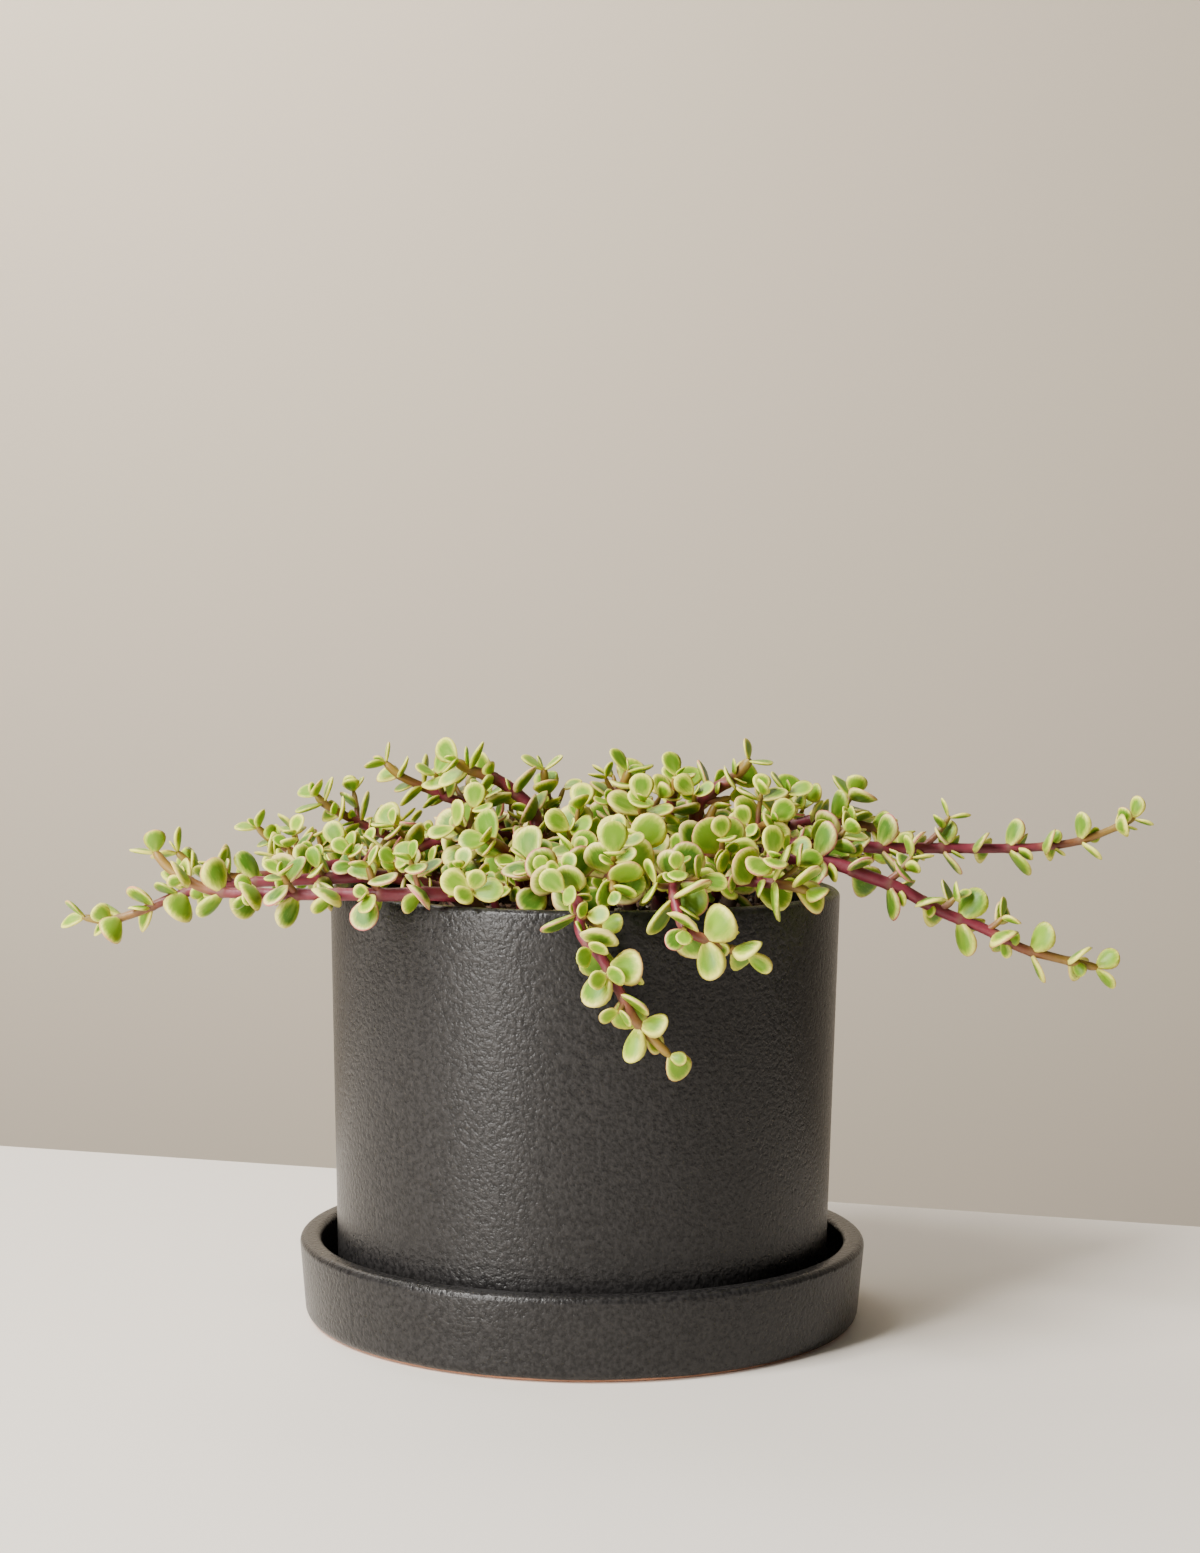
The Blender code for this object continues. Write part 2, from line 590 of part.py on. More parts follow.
def material(name, colour, roughness):
    made = bpy.data.materials.new(name)
    made.use_nodes = True
    shader = made.node_tree.nodes["Principled BSDF"]
    shader.inputs["Base Color"].default_value = (*colour, 1)
    shader.inputs["Roughness"].default_value = roughness
    shader.inputs["Metallic"].default_value = 0
    return made


def arc(x, z, radius, first, last, steps=3):
    """Profile points round a centre, by angle in degrees: 0 is outwards and 90 is up."""
    angles = [math.radians(between(first, last, i / steps)) for i in range(steps + 1)]
    return [(x + radius * math.cos(a), z + radius * math.sin(a)) for a in angles]


def turned(name, profile, closed, steps, collection, finish):
    """A turned solid: the profile's points are (radius, height), down its outer side."""
    mesh = bpy.data.meshes.new(name)
    edges = [(i, i + 1) for i in range(len(profile) - 1)]
    if closed:
        edges.append((len(profile) - 1, 0))
    mesh.from_pydata([(r * MM, 0, z * MM) for r, z in profile], edges, [])
    obj = bpy.data.objects.new(name, mesh)
    collection.objects.link(obj)
    screw = obj.modifiers.new("Turn", "SCREW")
    screw.axis = "Z"
    screw.angle = math.tau
    screw.steps = screw.render_steps = steps
    screw.use_merge_vertices = True
    screw.merge_threshold = 0.00001
    screw.use_smooth_shade = True
    mesh.materials.append(finish)
    return obj


def make_saucer(collection, glaze):
    inner = SAUCER_RIM_RADIUS - SAUCER_WALL
    r, foot = EDGE_ROUND, SAUCER_FOOT_ROUND
    profile = [(0, SAUCER_FLOOR), (inner - foot, SAUCER_FLOOR)]
    profile += arc(inner - foot, SAUCER_FLOOR + foot, foot, 270, 360, 2)[1:]
    profile += arc(inner + r, SAUCER_HEIGHT - r, r, 180, 90, 2)
    profile += arc(SAUCER_RIM_RADIUS - r, SAUCER_HEIGHT - r, r, 90, 0, 2)
    profile += arc(SAUCER_BASE_RADIUS - foot, foot, foot, 0, -90, 2)
    profile.append((0, 0))
    return turned("saucer", profile, False, TURNED_STEPS, collection, glaze)


def make_pot(collection, glaze):
    base, top, r = POT_BASE_HEIGHT, POT_RIM_HEIGHT, EDGE_ROUND
    floor = base + POT_FLOOR
    profile = arc(POT_RIM_RADIUS - r, top - r, r, 90, 0, 2)
    profile += arc(POT_BASE_RADIUS - r, base + r, r, 0, -90, 1)
    profile += [(POT_FOOT_RADIUS, base), (POT_FOOT_RADIUS - POT_FOOT_BEVEL, base + POT_FOOT_HEIGHT)]
    profile += [(DRAIN_RADIUS, base + POT_FOOT_HEIGHT), (DRAIN_RADIUS, floor)]
    profile.append((pot_inner_radius(floor), floor))
    profile += arc(POT_RIM_RADIUS - POT_WALL + r, top - r, r, 180, 90, 2)
    return turned("pot", profile, True, TURNED_STEPS, collection, glaze)


def make_soil(collection, earth):
    """The soil fills the pot, with a plain blind hole for each stem."""
    rim = POT_RIM_HEIGHT - SOIL_EDGE_DROP
    floor = POT_BASE_HEIGHT + POT_FLOOR + SEAT_GAP
    profile = [(radius, soil_top(radius)) for radius in SOIL_RINGS]
    profile += [(pot_inner_radius(z) - SEAT_GAP, z) for z in (rim, floor)]
    profile.append((0, floor))
    soil = turned("soil", profile, False, SOIL_STEPS, collection, earth)
    cutters = bpy.data.collections.new("stem holes")
    bpy.context.scene.collection.children.link(cutters)
    for name, facts in STEMS.items():
        x, y = facts["root"]
        top = soil_top(math.hypot(x, y))
        depth = HOLE_DEPTH + HOLE_OVER
        radius = facts["thick"][0] / 2 / math.cos(math.pi / HOLE_SIDES) + SEAT_GAP
        bpy.ops.mesh.primitive_cylinder_add(
            vertices=HOLE_SIDES, radius=radius * MM, depth=depth * MM,
            location=(x * MM, y * MM, (top - HOLE_DEPTH + depth / 2) * MM))
        hole = bpy.context.object
        hole.name = "hole_" + name
        for owner in list(hole.users_collection):
            owner.objects.unlink(hole)
        cutters.objects.link(hole)
        hole.hide_render = True
        hole.display_type = "WIRE"
    cutters.hide_render = True
    cut = soil.modifiers.new("Stem holes", "BOOLEAN")
    cut.operation = "DIFFERENCE"
    cut.operand_type = "COLLECTION"
    cut.collection = cutters
    return soil


def mesh_object(name, points, faces, collection):
    mesh = bpy.data.meshes.new(name)
    mesh.from_pydata([tuple(p * MM for p in point) for point in points], [], faces)
    obj = bpy.data.objects.new(name, mesh)
    collection.objects.link(obj)
    return obj


def make_tube(name, line, thick, collection, sunk):
    """A tapering stem: a bevelled curve, made a mesh, with its caps welded."""
    curve = bpy.data.curves.new(name, "CURVE")
    curve.dimensions = "3D"
    curve.bevel_depth = 1.0 * MM
    curve.bevel_resolution = 0
    curve.use_fill_caps = True
    spots = [(line.at(distance)[0], distance / line.length) for distance in line.bends()]
    if sunk:
        spots.insert(0, (line.points[0] - UP * (HOLE_DEPTH - SEAT_GAP), 0))
    spline = curve.splines.new("POLY")
    spline.points.add(len(spots) - 1)
    for point, (place, share) in zip(spline.points, spots):
        point.co = (*(place * MM), 1)
        point.radius = between(*thick, share) / 2
    shape = bpy.data.objects.new(name + " curve", curve)
    collection.objects.link(shape)
    graph = bpy.context.evaluated_depsgraph_get()
    mesh = bpy.data.meshes.new_from_object(shape.evaluated_get(graph))
    bpy.data.objects.remove(shape)
    shell = bmesh.new()
    shell.from_mesh(mesh)
    bmesh.ops.remove_doubles(shell, verts=shell.verts, dist=0.00001)
    bmesh.ops.recalc_face_normals(shell, faces=shell.faces)
    shell.to_mesh(mesh)
    shell.free()
    obj = bpy.data.objects.new(name, mesh)
    collection.objects.link(obj)
    return obj


def make_leaf(name, leaf, collection):
    """A leaf as a faceted lens: the outline, with a crest on its upper and its lower face."""
    length, width, thick = leaf.length, leaf.width, leaf.thick
    right = [(x, -y) for x, y in LEAF_OUTLINE]
    ring = [(0, 0)] + right + [(1, 0)] + [(x, -y) for x, y in reversed(right)]
    spots = [(x * length, y * width, LEAF_CUP * 4 * y * y * width) for x, y in ring]
    upper, lower = len(spots), len(spots) + 1
    spots.append((LEAF_CREST * length, 0, LEAF_UPPER_SHARE * thick))
    spots.append((LEAF_CREST * length, 0, (LEAF_UPPER_SHARE - 1) * thick))
    faces = []
    for i in range(len(ring)):
        after = (i + 1) % len(ring)
        faces += [(i, after, upper), (after, i, lower)]
    return mesh_object(name, leaf.root + np.array(spots) @ leaf.axes, faces, collection)


def make_stem(name, facts, bush, collection, finish):
    """One leafy stem: its tube, side shoots and leaves, joined in one body."""
    pieces = bpy.data.collections.new(name + " pieces")
    bpy.context.scene.collection.children.link(pieces)
    stem = make_tube(name, bush.lines[name][0][0], facts["thick"], collection, sunk=True)
    for index, (line, radius) in enumerate(bush.lines[name][1:], 1):
        thick = (radius * 2, radius * 2 * SHOOT_TAPER)
        make_tube(f"{name} shoot {index}", line, thick, pieces, sunk=False)
    for number, ((owner, _), leaf) in enumerate(bush.leaves):
        if owner == name:
            make_leaf(f"{name} leaf {number}", leaf, pieces)
    join = stem.modifiers.new("Join", "BOOLEAN")
    join.operation = "UNION"
    join.operand_type = "COLLECTION"
    join.collection = pieces
    join.solver = "MANIFOLD"
    graph = bpy.context.evaluated_depsgraph_get()
    joined = bpy.data.meshes.new_from_object(stem.evaluated_get(graph))
    stem.modifiers.clear()
    stem.data = joined
    joined.name = name
    joined.materials.clear()
    joined.materials.append(finish)
    for piece in list(pieces.objects):
        bpy.data.objects.remove(piece)
    bpy.data.collections.remove(pieces)
    return stem


def main():
    clear_scene()
    plant = bpy.data.collections.new("elephant bush")
    bpy.context.scene.collection.children.link(plant)
    glaze = material("charcoal glaze", (0.045, 0.043, 0.043), 0.42)
    earth = material("potting soil", (0.045, 0.030, 0.022), 0.95)
    leafy = material("variegated leaf", (0.36, 0.48, 0.16), 0.45)
    make_saucer(plant, glaze)
    make_pot(plant, glaze)
    make_soil(plant, earth)
    bush = grow()
    for name, facts in STEMS.items():
        make_stem(name, facts, bush, plant, leafy)


if __name__ == "__main__":
    main()
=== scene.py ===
"""The looks of a variegated elephant bush in a charcoal pot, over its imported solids.

The plant, its pot and the soil are laid out in millimetres, and MM turns them to metres. The room is in
metres.
"""

import math
import random

import bmesh
import bpy
import numpy as np
from mathutils import Matrix, Vector


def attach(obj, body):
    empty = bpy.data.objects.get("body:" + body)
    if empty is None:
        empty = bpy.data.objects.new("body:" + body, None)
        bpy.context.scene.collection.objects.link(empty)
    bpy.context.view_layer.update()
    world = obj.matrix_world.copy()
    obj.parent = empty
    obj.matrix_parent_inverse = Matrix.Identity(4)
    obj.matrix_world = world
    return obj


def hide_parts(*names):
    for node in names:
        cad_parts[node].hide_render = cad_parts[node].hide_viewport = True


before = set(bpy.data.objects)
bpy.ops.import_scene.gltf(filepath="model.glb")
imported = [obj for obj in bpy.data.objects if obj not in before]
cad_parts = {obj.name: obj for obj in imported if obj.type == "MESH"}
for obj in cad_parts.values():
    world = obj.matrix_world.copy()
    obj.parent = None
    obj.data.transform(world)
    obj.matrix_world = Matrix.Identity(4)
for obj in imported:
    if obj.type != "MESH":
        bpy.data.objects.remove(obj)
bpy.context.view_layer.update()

MM = 0.001

# Where each rule's random draws start
GROWTH_SEED, FILL_SEED, FORK_SEED, LOOKS_SEED = 100, 700, 500, 9000
SOIL_SEED, CRUMB_SEED, CRUMB_TONE_SEED = 3, 4, 5

# Driving dimensions of the holder, in millimetres
SAUCER_RIM_RADIUS = 91.8
SAUCER_BASE_RADIUS = 90.0
SAUCER_HEIGHT = 26.4
SAUCER_WALL = 7.0
SAUCER_FLOOR = 6.0
POT_RIM_RADIUS = 82.5
POT_BASE_RADIUS = 79.3
POT_WALL = 5.5
POT_FLOOR = 8.0
POT_RIM_HEIGHT = 139.4
POT_FOOT_RADIUS = 72.0
POT_FOOT_HEIGHT = 1.4
DRAIN_RADIUS = 7.0
EDGE_ROUND = 2.2
SAUCER_FOOT_ROUND = 4.0
SEAT_GAP = 0.3

# Driving dimensions of the soil
SOIL_EDGE_DROP = 9.0
SOIL_MOUND = 3.0

# Driving dimensions of a leaf, as shares of its length
LEAF_WIDTH_SHARE = (0.76, 0.96)
LEAF_THICK_SHARE = 0.18
LEAF_CUP = 0.08
LEAF_UPPER_SHARE = 0.35

# How a leaf turns to the light: shares and degrees, and where the front half ends
LIGHT_SHARE = 0.6
LIGHT_TWIST = 58.0
LIGHT_TIP_SHARE = 0.3
LIGHT_TIP = 20.0
LIGHT_OUTWARD = 0.5
LIGHT_FRONT = 1.1
LIGHT_FRONT_END = 45.0
LIGHT_SQUARE = 0.1

# Old wood deep in the pot carries no leaves
BARE_BELOW = 143.0

# How a stem's middle line is drawn: the step along it, the span that its direction is taken over, how far
# it goes aside before it has a heading, and a side shoot's thickness, taper and rise
LINE_STEP = 1.0
WAY_SPAN = 1.5
UPRIGHT_WITHIN = 4
SHOOT_THICK_SHARE = 0.62
SHOOT_TAPER = 0.8
SHOOT_RISE = 0.35

# How leaves stand on a stem: their lean at its root and tip and how far lean, turn and twist stray, in
# degrees, the stray of a leaf's length as shares, and the closed pair at the tip
LEAF_LEAN = (74, 56)
LEAN_STRAY, TURN_STRAY, PAIR_STRAY, TWIST_STRAY = 7, 10, 9, 16
LENGTH_STRAY = (0.92, 1.06)
TIP_BACK, TIP_LEAN, TIP_SHARE = 0.6, 40, 0.8

# The leaves of a side shoot: the share of it where they start, their distance, and their lengths as
# shares of the stem's middle leaf
SHOOT_FIRST = 0.55
SHOOT_GAP = (5.0, 5.0)
SHOOT_LEAF = (0.85, 0.8, 0.75)

# The crossing tests: the gaps that stay, and a blade as the tests take it, by shares of its length
CLEAR_OF_LEAF = 0.35
CLEAR_OF_STEM = 0.6
CLEAR_OF_POT = 0.9
CLEAR_THICK_SHARE = 0.6
BARE_FOOT = 1.2
BLADE_START = 0.22
BLADE_WIDEST = 0.58
BLADE_END = 0.45
BLADE_FOOT = 0.16
TEST_ROWS = 5
NEAR_LEAF = 32.0
NEAR_STEM = 3.0
MOST_LEAVES = 2400

POT_BASE_HEIGHT = SAUCER_FLOOR + SEAT_GAP
UP = np.array((0.0, 0.0, 1.0))
FRONT = np.array((0.0, -1.0, 0.0))

# Each stem, in the order of STEM_FIELDS: the place of its root in the soil, its thickness at the root and
# the tip, the distance between leaf pairs at both, the leaves' length at the root, at mid length and at
# the tip, where the first pair stands, that pair's turn about the stem in degrees, and the points that
# the stem passes through above the root. Some have side shoots, each given by its place along the stem
# as a share, its turn, its lean from the stem in degrees, and its length.
STEM_FIELDS = ("root", "thick", "gap", "leaf", "first", "turn", "route", "shoots")
STEM_ROWS = {
    "stem_front_hanging": ((-14, -46), (4.6, 2.6), (9.5, 9.5), (12.5, 13.0, 11.5), 16, 60,
        ((-12, -58, 144), (-6, -74, 147), (-2, -87, 142), (-1, -93, 134), (5, -95, 127), (10, -95, 118),
         (15, -96, 109), (21, -97, 103), (25, -97, 99)), ((0.5, 100, 55, 9),)),
    "stem_front_rosette": ((7, -44), (4.2, 3.0), (8.5, 6.5), (13.0, 14.0, 12.0), 15, 45,
        ((7, -56, 145), (8, -70, 150), (8, -80, 149), (8, -88, 146))),
    "stem_front_right": ((22, -44), (4.4, 2.6), (9.0, 8.5), (12.5, 13.0, 11.5), 15, 30,
        ((24, -58, 144), (27, -73, 148), (26, -86, 145), (29, -93, 136), (36, -94, 132.5), (42, -93, 130),
         (48, -92, 129))),
    "stem_right_front": ((38, -40), (4.4, 2.8), (7.5, 6.5), (12.5, 14.0, 12.5), 13, 40,
        ((41, -53, 144), (47, -62, 147), (55, -68, 147), (61, -70, 146.5), (67, -71, 145))),
    "stem_left_low": ((-30, -57), (4.8, 2.8), (14.0, 10.0), (12.5, 12.5, 10.5), 14, 0,
        ((-36, -64, 141), (-45, -69, 143), (-58, -68, 142.6), (-75, -66, 142.3), (-88, -64, 142),
         (-98, -62, 142), (-113, -60, 142.5), (-125, -58, 148), (-131, -57, 154)),
        ((0.36, 20, 70, 10), (0.58, 40, 65, 9))),
    "stem_left_far": ((-38, -22), (4.6, 2.4), (12.0, 10.5), (11.5, 12.0, 10.5), 14, 45,
        ((-50, -30, 142), (-64, -35, 145), (-80, -38, 144.5), (-92, -40, 144), (-107, -40, 143),
         (-120, -40, 141), (-129, -40, 138), (-138, -40, 134), (-148, -40, 131), (-156, -40, 132)),
        ((0.62, 10, 60, 7),)),
    "stem_left_arch": ((6, 11), (5.2, 2.4), (11.5, 10.0), (11.0, 12.0, 10.5), 26, 20,
        ((-2, 10, 147), (-14, 8, 154), (-28, 5, 155), (-45, 4, 154), (-56, 2, 151), (-66, -2, 148),
         (-82, -7, 146), (-95, -11, 144), (-104, -14, 143), (-115, -17, 143), (-124, -19, 146),
         (-130, -20, 151)), ((0.3, 0, 60, 9), (0.72, 15, 60, 10))),
    "stem_left_rise": ((-37, 18), (4.2, 2.4), (8.5, 7.5), (11.0, 11.5, 9.5), 12, 10,
        ((-50, 17, 141), (-68, 15, 144), (-84, 13, 144), (-95, 12, 148), (-104, 11, 153), (-108, 10, 157)),
        ((0.45, 30, 60, 9),)),
    "stem_left_back": ((-36, 36), (4.4, 2.5), (7.5, 7.0), (11.5, 12.0, 9.5), 12, 50,
        ((-50, 33, 142), (-63, 29, 151), (-75, 26, 157), (-86, 23, 163), (-90, 22, 167)),
        ((0.5, 350, 60, 8),)),
    "stem_left_top": ((-12, 32), (4.8, 2.6), (9.0, 8.5), (11.5, 12.0, 9.5), 16, 70,
        ((-19, 30, 149), (-32, 27, 160), (-48, 24, 167), (-61, 21, 173), (-67, 20, 178))),
    "stem_crest_left": ((-11, -8), (5.4, 3.2), (10.0, 7.5), (11.5, 12.0, 11.0), 20, 30,
        ((-14, -6, 151), (-17, -4, 163), (-22, -4, 169), (-29, -5, 174), (-37, -7, 177), (-42, -10, 180)),
        ((0.36, 190, 60, 8),)),
    "stem_trunk_right": ((38, 2), (6.4, 3.4), (9.0, 7.0), (11.0, 11.5, 10.0), 22, 20,
        ((38, 3, 150), (36, 4, 160), (37, 4, 167), (42, 3, 171), (48, 1, 175), (53, -2, 181)),
        ((0.42, 200, 55, 12), (0.62, 160, 60, 10))),
    "stem_right_low": ((45, -17), (5.2, 2.6), (12.0, 12.5), (12.0, 12.5, 10.5), 14, 15,
        ((55, -19, 147), (67, -22, 151), (80, -25, 149), (88, -27, 146), (99, -29, 142), (112, -31, 135),
         (125, -32, 130), (137, -33, 124), (148, -33, 121), (161, -33, 118)),
        ((0.46, 5, 60, 12), (0.6, 350, 60, 7), (0.72, 340, 60, 7))),
    "stem_right_high": ((50, 5), (5.0, 2.2), (8.0, 13.5), (11.5, 11.5, 9.5), 14, 80,
        ((61, 6, 149), (76, 7, 154), (95, 8, 152), (117, 8, 152), (131, 8, 152), (147, 8, 152.5),
         (161, 8, 154.5), (172, 8, 158.5), (180, 8, 162.5)), ((0.5, 350, 45, 14), (0.3, 10, 60, 8))),
    "stem_right_back": ((52, 28), (4.8, 2.8), (6.5, 6.5), (12.0, 12.5, 9.5), 14, 85,
        ((60, 27, 150), (69, 26, 158), (81, 24, 160), (93, 22, 158), (104, 20, 155))),
    "stem_middle_front": ((-2, -27), (4.2, 2.8), (7.5, 6.0), (12.0, 13.0, 11.5), 10, 10,
        ((-3, -30, 146), (-4, -34, 156), (-5, -40, 161))),
    "stem_middle_low": ((14, -28), (4.2, 2.8), (7.0, 6.0), (13.0, 14.0, 12.5), 10, 45,
        ((14, -36, 144), (14, -46, 153), (14, -54, 156), (14, -60, 156))),
    "stem_inner_right": ((29, -22), (4.2, 2.8), (7.0, 6.0), (13.0, 13.5, 12.0), 10, 40,
        ((32, -32, 146), (37, -43, 153), (41, -53, 155), (44, -60, 154))),
    "stem_peak_left": ((-8, 14), (4.0, 2.6), (8.0, 7.0), (11.5, 12.5, 10.5), 12, 20,
        ((-10, 15, 155), (-13, 14, 167), (-14, 11, 177))),
    "stem_hump_left": ((8, 30), (4.6, 3.0), (7.0, 6.5), (12.5, 13.0, 11.5), 12, 35,
        ((9, 30, 150), (11, 27, 165), (14, 22, 176))),
    "stem_hump_right": ((26, 26), (4.6, 3.0), (7.0, 6.5), (12.5, 13.0, 11.5), 12, 70,
        ((26, 26, 148), (28, 20, 164), (30, 13, 175))),
    "stem_middle_top": ((18, 2), (4.4, 2.8), (7.0, 6.5), (12.5, 13.0, 11.5), 12, 10,
        ((18, 0, 148), (18, -6, 160), (18, -12, 168))),
    "stem_shoulder_right": ((58, 14), (4.2, 2.8), (6.5, 6.0), (12.5, 13.0, 11.0), 12, 60,
        ((60, 14, 150), (63, 12, 162), (66, 8, 170))),
    "shoot_left_rim": ((-26, -58), (2.8, 2.2), (6.0, 5.5), (10.0, 10.5, 8.0), 5, 70,
        ((-27, -60, 138), (-29, -62, 144))),
    "shoot_left_inner": ((-20, -36), (3.4, 2.4), (7.0, 6.0), (10.5, 11.0, 8.5), 8, 30,
        ((-20, -39, 141), (-22, -43, 150))),
    "shoot_left_side": ((-42, -14), (3.2, 2.4), (7.0, 6.0), (10.5, 11.0, 8.5), 8, 40,
        ((-47, -5, 142), (-52, 1, 141))),
    "stem_left_mass": ((-26, 2), (4.2, 2.8), (7.0, 6.5), (12.5, 13.0, 11.5), 11, 25,
        ((-30, -4, 146), (-36, -12, 155), (-42, -20, 160))),
    "stem_left_fold": ((-16, -20), (4.0, 2.8), (7.0, 6.5), (12.0, 12.5, 11.0), 10, 60,
        ((-20, -25, 146), (-26, -31, 154), (-31, -36, 157))),
    "stem_right_mass": ((46, -2), (4.2, 2.8), (7.0, 6.5), (12.5, 13.0, 11.5), 11, 70,
        ((49, -8, 148), (54, -16, 158), (59, -23, 163))),
    "stem_back_left": ((-46, 44), (4.6, 2.5), (10.5, 10.0), (11.5, 12.0, 9.0), 12, 30,
        ((-58, 54, 144), (-70, 64, 145), (-84, 74, 140), (-98, 82, 137), (-109, 87, 139)),
        ((0.5, 350, 60, 9),)),
    "stem_back_hanging": ((-20, 54), (4.6, 2.5), (10.0, 10.0), (11.5, 12.0, 8.5), 12, 50,
        ((-24, 68, 146), (-27, 82, 145), (-28, 92, 136), (-29, 95, 124), (-32, 96, 112), (-36, 97, 103)),
        ((0.45, 80, 60, 8),)),
    "stem_back_middle": ((6, 52), (4.6, 2.6), (7.5, 7.5), (11.5, 12.5, 9.5), 12, 20,
        ((8, 64, 150), (10, 78, 153), (13, 92, 150), (18, 104, 146))),
    "stem_back_right": ((32, 50), (4.6, 2.5), (10.5, 10.0), (11.5, 12.0, 9.0), 12, 70,
        ((40, 62, 147), (49, 75, 148), (60, 88, 143), (72, 99, 140), (82, 107, 142)), ((0.5, 10, 60, 9),)),
    "stem_back_side": ((60, 38), (4.2, 2.6), (9.0, 9.0), (11.5, 12.0, 9.0), 11, 25,
        ((70, 46, 146), (80, 53, 147), (92, 60, 144), (104, 66, 145))),
    "shoot_back_inner": ((-24, 12), (3.4, 2.4), (7.0, 6.0), (11.0, 11.5, 9.0), 9, 30,
        ((-28, 18, 146), (-32, 16, 152))),
}
STEMS = {name: dict(zip(STEM_FIELDS, row)) for name, row in STEM_ROWS.items()}


def unit(vector):
    return vector / np.linalg.norm(vector)


def between(start, end, share):
    return start + (end - start) * share


def rotated(vector, axis, angle):
    """The vector turned about a unit axis, by an angle in radians."""
    cos, sin = math.cos(angle), math.sin(angle)
    return vector * cos + np.cross(axis, vector) * sin + axis * (axis @ vector) * (1 - cos)


def soil_top(radius):
    """Height of the soil: level with the rim less a drop, with a low mound in the middle."""
    share = min(1.0, radius / pot_inner_radius(POT_RIM_HEIGHT))
    return POT_RIM_HEIGHT - SOIL_EDGE_DROP + SOIL_MOUND * (1 - share * share)


def pot_outer_radius(height):
    share = (height - POT_BASE_HEIGHT) / (POT_RIM_HEIGHT - POT_BASE_HEIGHT)
    return between(POT_BASE_RADIUS, POT_RIM_RADIUS, share)


def pot_inner_radius(height):
    return pot_outer_radius(height) - POT_WALL


def to_light(place):
    """The direction that leaves at a place turn to: up, outwards and, on the front half, to the front."""
    away = place * (1, 1, 0) / POT_RIM_RADIUS
    front = max(0.0, min(1.0, (LIGHT_FRONT_END - place[1]) / LIGHT_FRONT_END))
    return unit(UP + away / max(1.0, np.linalg.norm(away)) * LIGHT_OUTWARD + FRONT * LIGHT_FRONT * front)


class Line:
    """A stem's middle line: a smooth curve through its route, straight up where it leaves the soil."""

    def __init__(self, start, route, first_way):
        points = [np.array(start, float)] + [np.array(p, float) for p in route]
        ways = [unit(first_way) * np.linalg.norm(points[1] - points[0])]
        for before, after in zip(points[:-2], points[2:]):
            ways.append((after - before) / 2)
        ways.append(points[-1] - points[-2])
        dense = []
        for i in range(len(points) - 1):
            count = max(3, int(np.linalg.norm(points[i + 1] - points[i]) / LINE_STEP))
            for k in range(count):
                dense.append(self.hermite(points[i], points[i + 1], ways[i], ways[i + 1], k / count))
        dense.append(points[-1])
        self.points = np.array(dense)
        steps = np.linalg.norm(np.diff(self.points, axis=0), axis=1)
        self.reach = np.concatenate([[0], np.cumsum(steps)])
        self.length = float(self.reach[-1])
        heading = (self.points[-1] - self.points[0]) * (1, 1, 0)
        flat = np.linalg.norm(heading) > UPRIGHT_WITHIN
        self.side = unit(np.cross(UP, heading)) if flat else np.array((0.0, 1.0, 0.0))

    @staticmethod
    def hermite(a, b, way_a, way_b, t):
        t2, t3 = t * t, t * t * t
        from_a = (2 * t3 - 3 * t2 + 1) * a + (t3 - 2 * t2 + t) * way_a
        return from_a + (3 * t2 - 2 * t3) * b + (t3 - t2) * way_b

    def point(self, distance):
        return np.array([np.interp(distance, self.reach, self.points[:, i]) for i in range(3)])

    def at(self, distance):
        """The point and the direction at a distance along the line."""
        before, after = max(0, distance - WAY_SPAN), min(self.length, distance + WAY_SPAN)
        return self.point(distance), unit(self.point(after) - self.point(before))

    def outward(self, way, turn):
        """The direction square to the stem that a leaf or shoot leaves in: turn 0 is its upper side."""
        side = unit(self.side - way * np.dot(self.side, way))
        top = np.cross(way, side)
        return math.cos(math.radians(turn)) * top + math.sin(math.radians(turn)) * side


class Leaf:
    """One leaf: where it is rooted, its axes (along, across, upper face) and its sizes."""

    def __init__(self, line, distance, turn, lean, length, width_share, twist, radius, age):
        self.root, way = line.at(distance)
        out = line.outward(way, turn)
        lean, self.age = math.radians(lean), age
        along = math.cos(lean) * way + math.sin(lean) * out
        face = math.sin(lean) * way - math.cos(lean) * out
        # The leaf twists towards the light and then tips to it
        light = to_light(self.root)
        seen = math.degrees(math.atan2(np.cross(face, along) @ light, face @ light))
        turned = max(-LIGHT_TWIST, min(LIGHT_TWIST, LIGHT_SHARE * seen))
        face = rotated(face, along, math.radians(turned + twist))
        apart = math.degrees(math.acos(max(-1.0, min(1.0, float(face @ light)))))
        axis = np.cross(face, light)
        if np.linalg.norm(axis) > LIGHT_SQUARE:
            tipped = math.radians(min(LIGHT_TIP, LIGHT_TIP_SHARE * apart))
            along, face = rotated(along, unit(axis), tipped), rotated(face, unit(axis), tipped)
        across = np.cross(face, along)
        self.axes = np.array([along, across, face])
        self.length, self.width = length, length * width_share
        self.thick = LEAF_THICK_SHARE * length
        self.bare = radius + BARE_FOOT

    def samples(self):
        """Points spread over the blade, clear of its root, for the crossing tests."""
        start = max(self.bare / self.length, BLADE_START)
        spots = []
        for i in range(TEST_ROWS):
            x = between(start, 1.0, i / (TEST_ROWS - 1))
            if x > BLADE_WIDEST:
                half = 0.5 * math.sqrt(max(0.0, 1 - ((x - BLADE_WIDEST) / 0.5) ** 2))
            else:
                half = between(BLADE_FOOT, 0.5, x / BLADE_WIDEST)
            for y in (-half, -half / 2, 0.0, half / 2, half):
                spots.append((x * self.length, y * self.width, LEAF_CUP * 4 * y * y * self.width))
        return self.root + np.array(spots) @ self.axes


